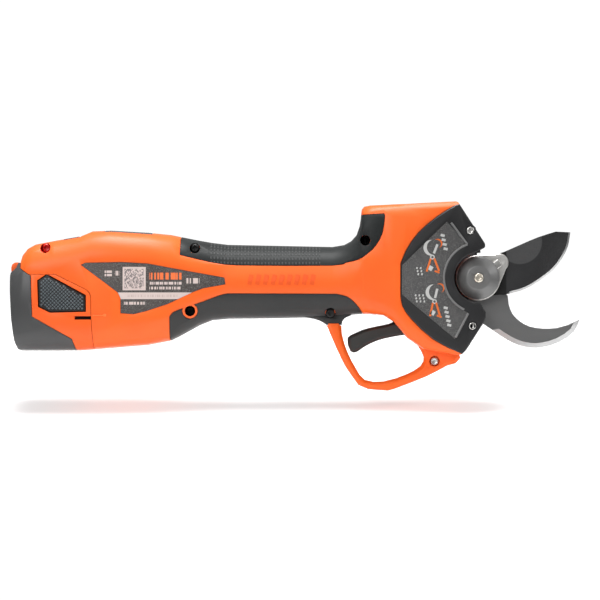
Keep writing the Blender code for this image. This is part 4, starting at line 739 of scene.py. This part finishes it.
# ---- Instruction panel --------------------------------------------------------------------
# A grey speckled film in the right cover. Two small pictures show the blades open and
# closed, with plain bars and arrows where the words would be.
panel_film, panel_tree, panel_shader, panel_colour = speckled(
    "panel_film", (0.045, 0.045, 0.046), (0.066, 0.066, 0.067), 0.42
)
panel_tree.links.new(panel_colour, panel_shader.inputs["Base Color"])
panel = finished("instruction_panel", "panel_sheet", "casing")
panel.data.materials.append(panel_film)

PANEL_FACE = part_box("instruction_panel")[0].y
print_white = moulded("print_white", (0.42, 0.42, 0.41), (0.52, 0.52, 0.51), 0.5)[0]
print_orange = moulded("print_orange", (0.60, 0.12, 0.02), (0.72, 0.16, 0.03), 0.5)[0]


def on_panel(shape, x, z, size, turn, ink):
    """Prints one small flat shape on the panel; x, z and size in millimetres."""
    bpy.ops.object.select_all(action="DESELECT")
    here = (x * 0.001, PANEL_FACE - 0.00004, z * 0.001)
    if shape == "bar":
        bpy.ops.mesh.primitive_cube_add(size=1, location=here, rotation=(0, turn, 0))
        mark = bpy.context.active_object
        mark.scale = (size[0] * 0.001, 0.00008, size[1] * 0.001)
    elif shape == "ring":
        bpy.ops.mesh.primitive_torus_add(
            location=here, rotation=(math.radians(90), 0, 0), major_segments=20, minor_segments=6,
            major_radius=size[0] * 0.001, minor_radius=size[1] * 0.001)
        mark = bpy.context.active_object
        mark.scale = (1, 1, 0.1)
    else:
        bpy.ops.mesh.primitive_cylinder_add(vertices=32, radius=size[0] * 0.001, depth=0.00008,
                                            location=here, rotation=(math.radians(90), 0, 0))
        mark = bpy.context.active_object
        aside = Vector((math.cos(turn), 0, -math.sin(turn))) * size[1] * 0.001
        bpy.ops.mesh.primitive_cylinder_add(vertices=32, radius=size[0] * 0.001, depth=0.001,
                                            location=Vector(here) + aside, rotation=(math.radians(90), 0, 0))
        bite = bpy.context.active_object
        apply_modifier(mark, "BOOLEAN", object=bite, operation="DIFFERENCE", solver="EXACT")
        bpy.data.objects.remove(bite)
    work_on(mark)
    bpy.ops.object.transform_apply(location=True, rotation=True, scale=True)
    mark.data.materials.append(ink)
    return mark


def pictogram(x, z, spread):
    """A little pruner: pale blades above a ring, orange handles and a pale hand below."""
    return [
        on_panel("crescent", x - 0.6, z + 5.2, (4.4, 1.9), math.radians(-10), print_white),
        on_panel("bar", x + 0.9 + spread, z + 4.6, (1.3, 5.4), math.radians(14 + 8 * spread), print_white),
        on_panel("ring", x, z, (1.0, 0.32), 0, print_white),
        on_panel("bar", x - 1.7 - spread * 0.4, z - 4.4, (1.1, 7.6),
                 math.radians(12 + 6 * spread), print_orange),
        on_panel("bar", x + 1.9 + spread * 0.5, z - 4.2, (1.1, 7.6),
                 math.radians(-16 - 6 * spread), print_orange),
        on_panel("bar", x + 2.6, z - 8.2, (2.8, 1.0), math.radians(20), print_orange),
        on_panel("bar", x - 1.0, z - 6.2, (2.3, 2.6), math.radians(30), print_white),
        on_panel("crescent", x + 3.0, z + 7.6, (2.6, 0.9), math.radians(150), print_orange),
    ]


prints = pictogram(76.0, 74.7, 0.9) + pictogram(77.2, 49.9, 0.0)
for count in range(4):
    prints.append(on_panel("bar", 81.7 + count * 0.55, 86.8 - count * 2.5, (2.3, 1.4),
                           math.radians(14), print_white))
for count in range(5):
    prints.append(on_panel("bar", 83.4 + count * 0.5, 46.4 - count * 2.4, (2.3, 1.4),
                           math.radians(14), print_white))
for left, top, lines in ((67.4, 68.6, 2), (66.6, 53.4, 3)):
    for row in range(lines):
        for count in range(3):
            prints.append(on_panel("bar", left + row * 2.1 + count * 0.35, top - count * 1.7,
                                   (0.8, 1.1), 0.2, print_white))
pictures = joined("panel_pictures", prints)
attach(pictures, "casing")


# ---- Screws -------------------------------------------------------------------------------
# Cross-head screws: bright zinc on the head and the guard, painted near black in the casing wells as the
# shade deep in them. The rearmost, over the battery, is painted a deep red as the shade in its orange well.
brushed, brushed_in, brushed_out = effect_group(
    "brushed_lines", [("Along", 60.0), ("Across", 2400.0)], ["Height", "Tone"]
)
brushed_x, brushed_y, brushed_z = object_axes(brushed)
brushed_at = brushed.nodes.new("ShaderNodeCombineXYZ")
for axis, along, slot in ((brushed_x, "Along", "X"), (brushed_y, "Across", "Y"), (brushed_z, "Across", "Z")):
    stretched = math_node(brushed, "MULTIPLY", axis, brushed_in.outputs[along])
    brushed.links.new(stretched, brushed_at.inputs[slot])
for detail, scale, result in ((2.0, 1.0, "Height"), (4.0, 0.02, "Tone")):
    noise = brushed.nodes.new("ShaderNodeTexNoise")
    noise.inputs["Scale"].default_value = scale
    noise.inputs["Detail"].default_value = detail
    brushed.links.new(brushed_at.outputs["Vector"], noise.inputs["Vector"])
    brushed.links.new(noise.outputs["Fac"], brushed_out.inputs[result])


def metal(name, dark, light, roughness, lines=0.15, along=60.0, across=2400.0, spread=0.06):
    """A metal finish with fine brushed or rolled lines and wandering gloss."""
    finish, tree, shader = new_finish(name, roughness, 1.0)
    texture = tree.nodes.new("ShaderNodeGroup")
    texture.node_tree = brushed
    texture.inputs["Along"].default_value = along
    texture.inputs["Across"].default_value = across
    colour = ramp(tree, texture.outputs["Tone"], [(0.3, dark), (0.7, light)])
    tree.links.new(colour, shader.inputs["Base Color"])
    gloss = tree.nodes.new("ShaderNodeMapRange")
    gloss.inputs["To Min"].default_value = roughness - spread
    gloss.inputs["To Max"].default_value = roughness + spread
    tree.links.new(texture.outputs["Tone"], gloss.inputs["Value"])
    tree.links.new(gloss.outputs["Result"], shader.inputs["Roughness"])
    add_bump(tree, shader, texture.outputs["Height"], lines, 0.00005)
    return finish, tree, shader, colour, texture


zinc = metal("bright_zinc", (0.55, 0.54, 0.52), (0.70, 0.69, 0.67), 0.28)[0]
# painted shade: the screws in the casing wells are painted near black for the shade deep in the wells
black_oxide = moulded("black_oxide", (0.004, 0.004, 0.004), (0.007, 0.007, 0.007), 0.55)[0]
# painted shade: the rearmost screw is painted the deep red of its orange well's shade and bounced light
red_lacquer = moulded("red_lacquer", (0.500, 0.010, 0.006), (0.600, 0.016, 0.008), 0.30, 0.1)[0]
for number in range(1, 7):
    low_head = finished("housing_screw_%d" % number, "case_screw_%d" % number, "casing", edge=0.0002)
    low_head.data.materials.append({1: red_lacquer, 6: zinc}.get(number, black_oxide))
for side in ("left", "right"):
    for number in (1, 2):
        head = finished("cover_screw_%s_%d" % (side, number), "plate_screw_%s_%d" % (side, number), "casing",
                        edge=0.0002)
        head.data.materials.append(zinc)


# ---- Pivot: nut, centre screw, lock plate -------------------------------------------------
# A turned, blackened steel nut with a wide cone and a flat middle, a pale centre screw that
# locks it, and under it a polished tear-drop plate held by its own small screw.
turned_marks, turned_in, turned_out = effect_group("turned_marks", [("Rings", 5200.0)], ["Height"])
turned_x, _, turned_z = object_axes(turned_marks)
turned_dx = math_node(turned_marks, "SUBTRACT", turned_x, PIVOT.x)
turned_dz = math_node(turned_marks, "SUBTRACT", turned_z, PIVOT.z)
turned_far = math_node(
    turned_marks, "SQRT",
    math_node(turned_marks, "MULTIPLY_ADD", turned_dx, turned_dx,
              math_node(turned_marks, "MULTIPLY", turned_dz, turned_dz)),
)
turned_noise = turned_marks.nodes.new("ShaderNodeTexNoise")
turned_noise.noise_dimensions = "1D"
turned_noise.inputs["Detail"].default_value = 2
turned_noise.inputs["Scale"].default_value = 1
turned_marks.links.new(math_node(turned_marks, "MULTIPLY", turned_far, turned_in.outputs["Rings"]),
                       turned_noise.inputs["W"])
turned_marks.links.new(turned_noise.outputs["Fac"], turned_out.inputs["Height"])

dark_nut, nut_tree, nut_shader = new_finish("turned_dark_steel", 0.42, 0.55)
nut_marks = nut_tree.nodes.new("ShaderNodeGroup")
nut_marks.node_tree = turned_marks
nut_tree.links.new(
    ramp(nut_tree, nut_marks.outputs["Height"], [(0.3, (0.15, 0.15, 0.149)), (0.7, (0.21, 0.21, 0.208))]),
    nut_shader.inputs["Base Color"],
)
add_bump(nut_tree, nut_shader, nut_marks.outputs["Height"], 0.25, 0.00004)
nut = finished("pivot_nut", "pivot_nut_turned", "blade", edge=0.0003, crease=25.0)
nut.data.materials.append(dark_nut)

pale_brass = metal("pale_brass", (0.66, 0.60, 0.50), (0.80, 0.74, 0.64), 0.30)[0]
centre = finished("pivot_screw", "pivot_screw_head", "blade", edge=0.0003)
centre.data.materials.append(pale_brass)

plate_steel = metal("plate_steel", (0.50, 0.49, 0.47), (0.62, 0.61, 0.59), 0.42, 0.3)[0]
plate = finished("lock_plate", "lock_plate_pressed", "blade", edge=0.0003)
plate.data.materials.append(plate_steel)
plate_screw = finished("lock_screw", "lock_screw_head", "blade", edge=0.0003)
plate_screw.data.materials.append(zinc)
bolt = finished("pivot_bolt", "pivot_bolt_head", "blade", edge=0.0003)
bolt.data.materials.append(metal("black_bolt", (0.10, 0.10, 0.10), (0.15, 0.15, 0.15), 0.34)[0])


# ---- Blades -------------------------------------------------------------------------------
# Forged tool steel. The upper blade is black coated, with a paler patch by its spine painted as the sheen on
# the facet there, its heel painted darker as shade, and a bright cutting edge; the hooked one is ground grey,
# with a wide bright bevel below.
def ground_edge(piece, width, faces_down):
    """Chamfers the near edge where the side faces point the given way, and gives the slanted faces the second
    material.
    """
    work_on(piece)
    mesh = piece.data
    near = min(point.co.y for point in mesh.vertices if point.co.x > PIVOT.x + 0.02)
    bpy.ops.object.mode_set(mode="EDIT")
    bpy.ops.mesh.select_mode(type="EDGE")
    bpy.ops.mesh.select_all(action="DESELECT")
    bpy.ops.object.mode_set(mode="OBJECT")
    sides = {}
    for face in mesh.polygons:
        for key in face.edge_keys:
            sides.setdefault(key, []).append(face.normal.copy())
    for edge in mesh.edges:
        a, b = (mesh.vertices[i].co for i in edge.vertices)
        if abs(a.y - near) > 0.0001 or abs(b.y - near) > 0.0001 or min(a.x, b.x) < PIVOT.x + 0.004:
            continue
        normals = sides.get(tuple(sorted(edge.vertices)), [])
        outward = [n for n in normals if abs(n.y) < 0.5]
        if len(normals) == 2 and len(outward) == 1 and faces_down(outward[0], (a + b) / 2):
            edge.select = True
    bpy.ops.object.mode_set(mode="EDIT")
    bpy.ops.mesh.bevel(offset=width, segments=1, affect="EDGES", clamp_overlap=False)
    bpy.ops.object.mode_set(mode="OBJECT")
    for face in mesh.polygons:
        slanted = -0.93 < face.normal.y < -0.2 and face.center.x > PIVOT.x + 0.004
        face.material_index = 1 if slanted else 0


FACET_X = 0.1255
FACET_Z = 0.0835
SHADED_HEEL_X = 0.1180
coated, coated_tree, coated_shader, coated_colour = moulded(
    "black_coat", (0.014, 0.014, 0.015), (0.030, 0.030, 0.031), 0.40, 0.5, 1400.0
)[:4]
coated_shader.inputs["Metallic"].default_value = 0.25
facet_x, _, facet_z = object_axes(coated_tree)
facet_far = math_node(
    coated_tree, "SQRT",
    math_node(
        coated_tree, "ADD",
        math_node(coated_tree, "POWER", math_node(coated_tree, "SUBTRACT", facet_x, FACET_X), 2.0),
        math_node(coated_tree, "POWER", math_node(coated_tree, "SUBTRACT", facet_z, FACET_Z), 2.0),
    ),
)
# painted highlight: a round patch by the spine is painted paler grey as the sheen on the facet there
facet_sheen = coated_tree.nodes.new("ShaderNodeMapRange")
facet_sheen.inputs["From Min"].default_value = 0.0122
facet_sheen.inputs["From Max"].default_value = 0.0128
facet_sheen.inputs["To Min"].default_value = 1.0
facet_sheen.inputs["To Max"].default_value = 0.0
coated_tree.links.new(facet_far, facet_sheen.inputs["Value"])
facet_sheen_tone = mixed(coated_tree, facet_sheen.outputs["Result"], coated_colour, (0.060, 0.060, 0.061))
# painted shade: the blade behind the lock plate, in shadow at the step there, is painted almost black
heel_shade = math_node(coated_tree, "LESS_THAN", facet_x, SHADED_HEEL_X)
heel_shade_tone = mixed(coated_tree, heel_shade, facet_sheen_tone, (0.008, 0.008, 0.008))
coated_tree.links.new(heel_shade_tone, coated_shader.inputs["Base Color"])

bright_edge = metal("bright_edge", (0.44, 0.44, 0.44), (0.55, 0.55, 0.55), 0.42, 0.15)[0]
grey_blade = metal("grey_blade", (0.20, 0.20, 0.20), (0.27, 0.27, 0.27), 0.36, 0.35, 300.0, 1500.0)[0]

cutter = finished("moving_blade", "upper_blade", "blade")
cutter.data.materials.append(coated)
cutter.data.materials.append(bright_edge)
ground_edge(cutter, 0.0011, lambda n, at: n.z < 0.35 and at.x > PIVOT.x + 0.017)
hook = finished("fixed_blade", "hook_blade", "casing")
hook.data.materials.append(grey_blade)
hook.data.materials.append(bright_edge)
ground_edge(hook, 0.0026, lambda n, at: n.z < -0.15 and at.x > PIVOT.x + 0.012)


# ---- Trigger ------------------------------------------------------------------------------
# A dark moulded lever inside the guard, pinned at its front end.
trigger_black = moulded("trigger_black", (0.022, 0.022, 0.021), (0.032, 0.032, 0.030), 0.45, 0.3)[0]
lever = finished("trigger", "trigger_lever_cap", "trigger_lever", edge=0.0007, segments=3)
lever.data.materials.append(trigger_black)


# ---- Works inside the casing --------------------------------------------------------------
# Gear plate, bearing, gears, motor, cells, boards and contacts: seen only through the head's
# opening or with the battery off, and finished as what they are.
cast_metal = metal("cast_metal", (0.16, 0.16, 0.165), (0.22, 0.22, 0.225), 0.45, 0.6, 900.0, 900.0)[0]
gear_steel = metal("gear_steel", (0.45, 0.45, 0.45), (0.58, 0.58, 0.58), 0.30)[0]
can_steel = metal("can_steel", (0.12, 0.12, 0.12), (0.18, 0.18, 0.18), 0.38)[0]
board_green = moulded("board_green", (0.012, 0.090, 0.035), (0.020, 0.130, 0.050), 0.35, 0.3, 900.0)[0]
cell_blue = moulded("cell_wrap_blue", (0.030, 0.140, 0.300), (0.045, 0.180, 0.360), 0.30, 0.1)[0]
INSIDE = {
    "cast_aluminium": cast_metal,
    "bright_steel": gear_steel,
    "dark_steel": can_steel,
    "circuit_board": board_green,
    "cell_wrap": cell_blue,
    "black_plastic": soft_black,
}
slot_of = {part["node"]: part["material_slot"] for part in frame["record"]["subparts"]}
for name, item in frame["nodes"].items():
    if not item.hide_render:
        item.data.materials.clear()
        item.data.materials.append(INSIDE[slot_of[name]])
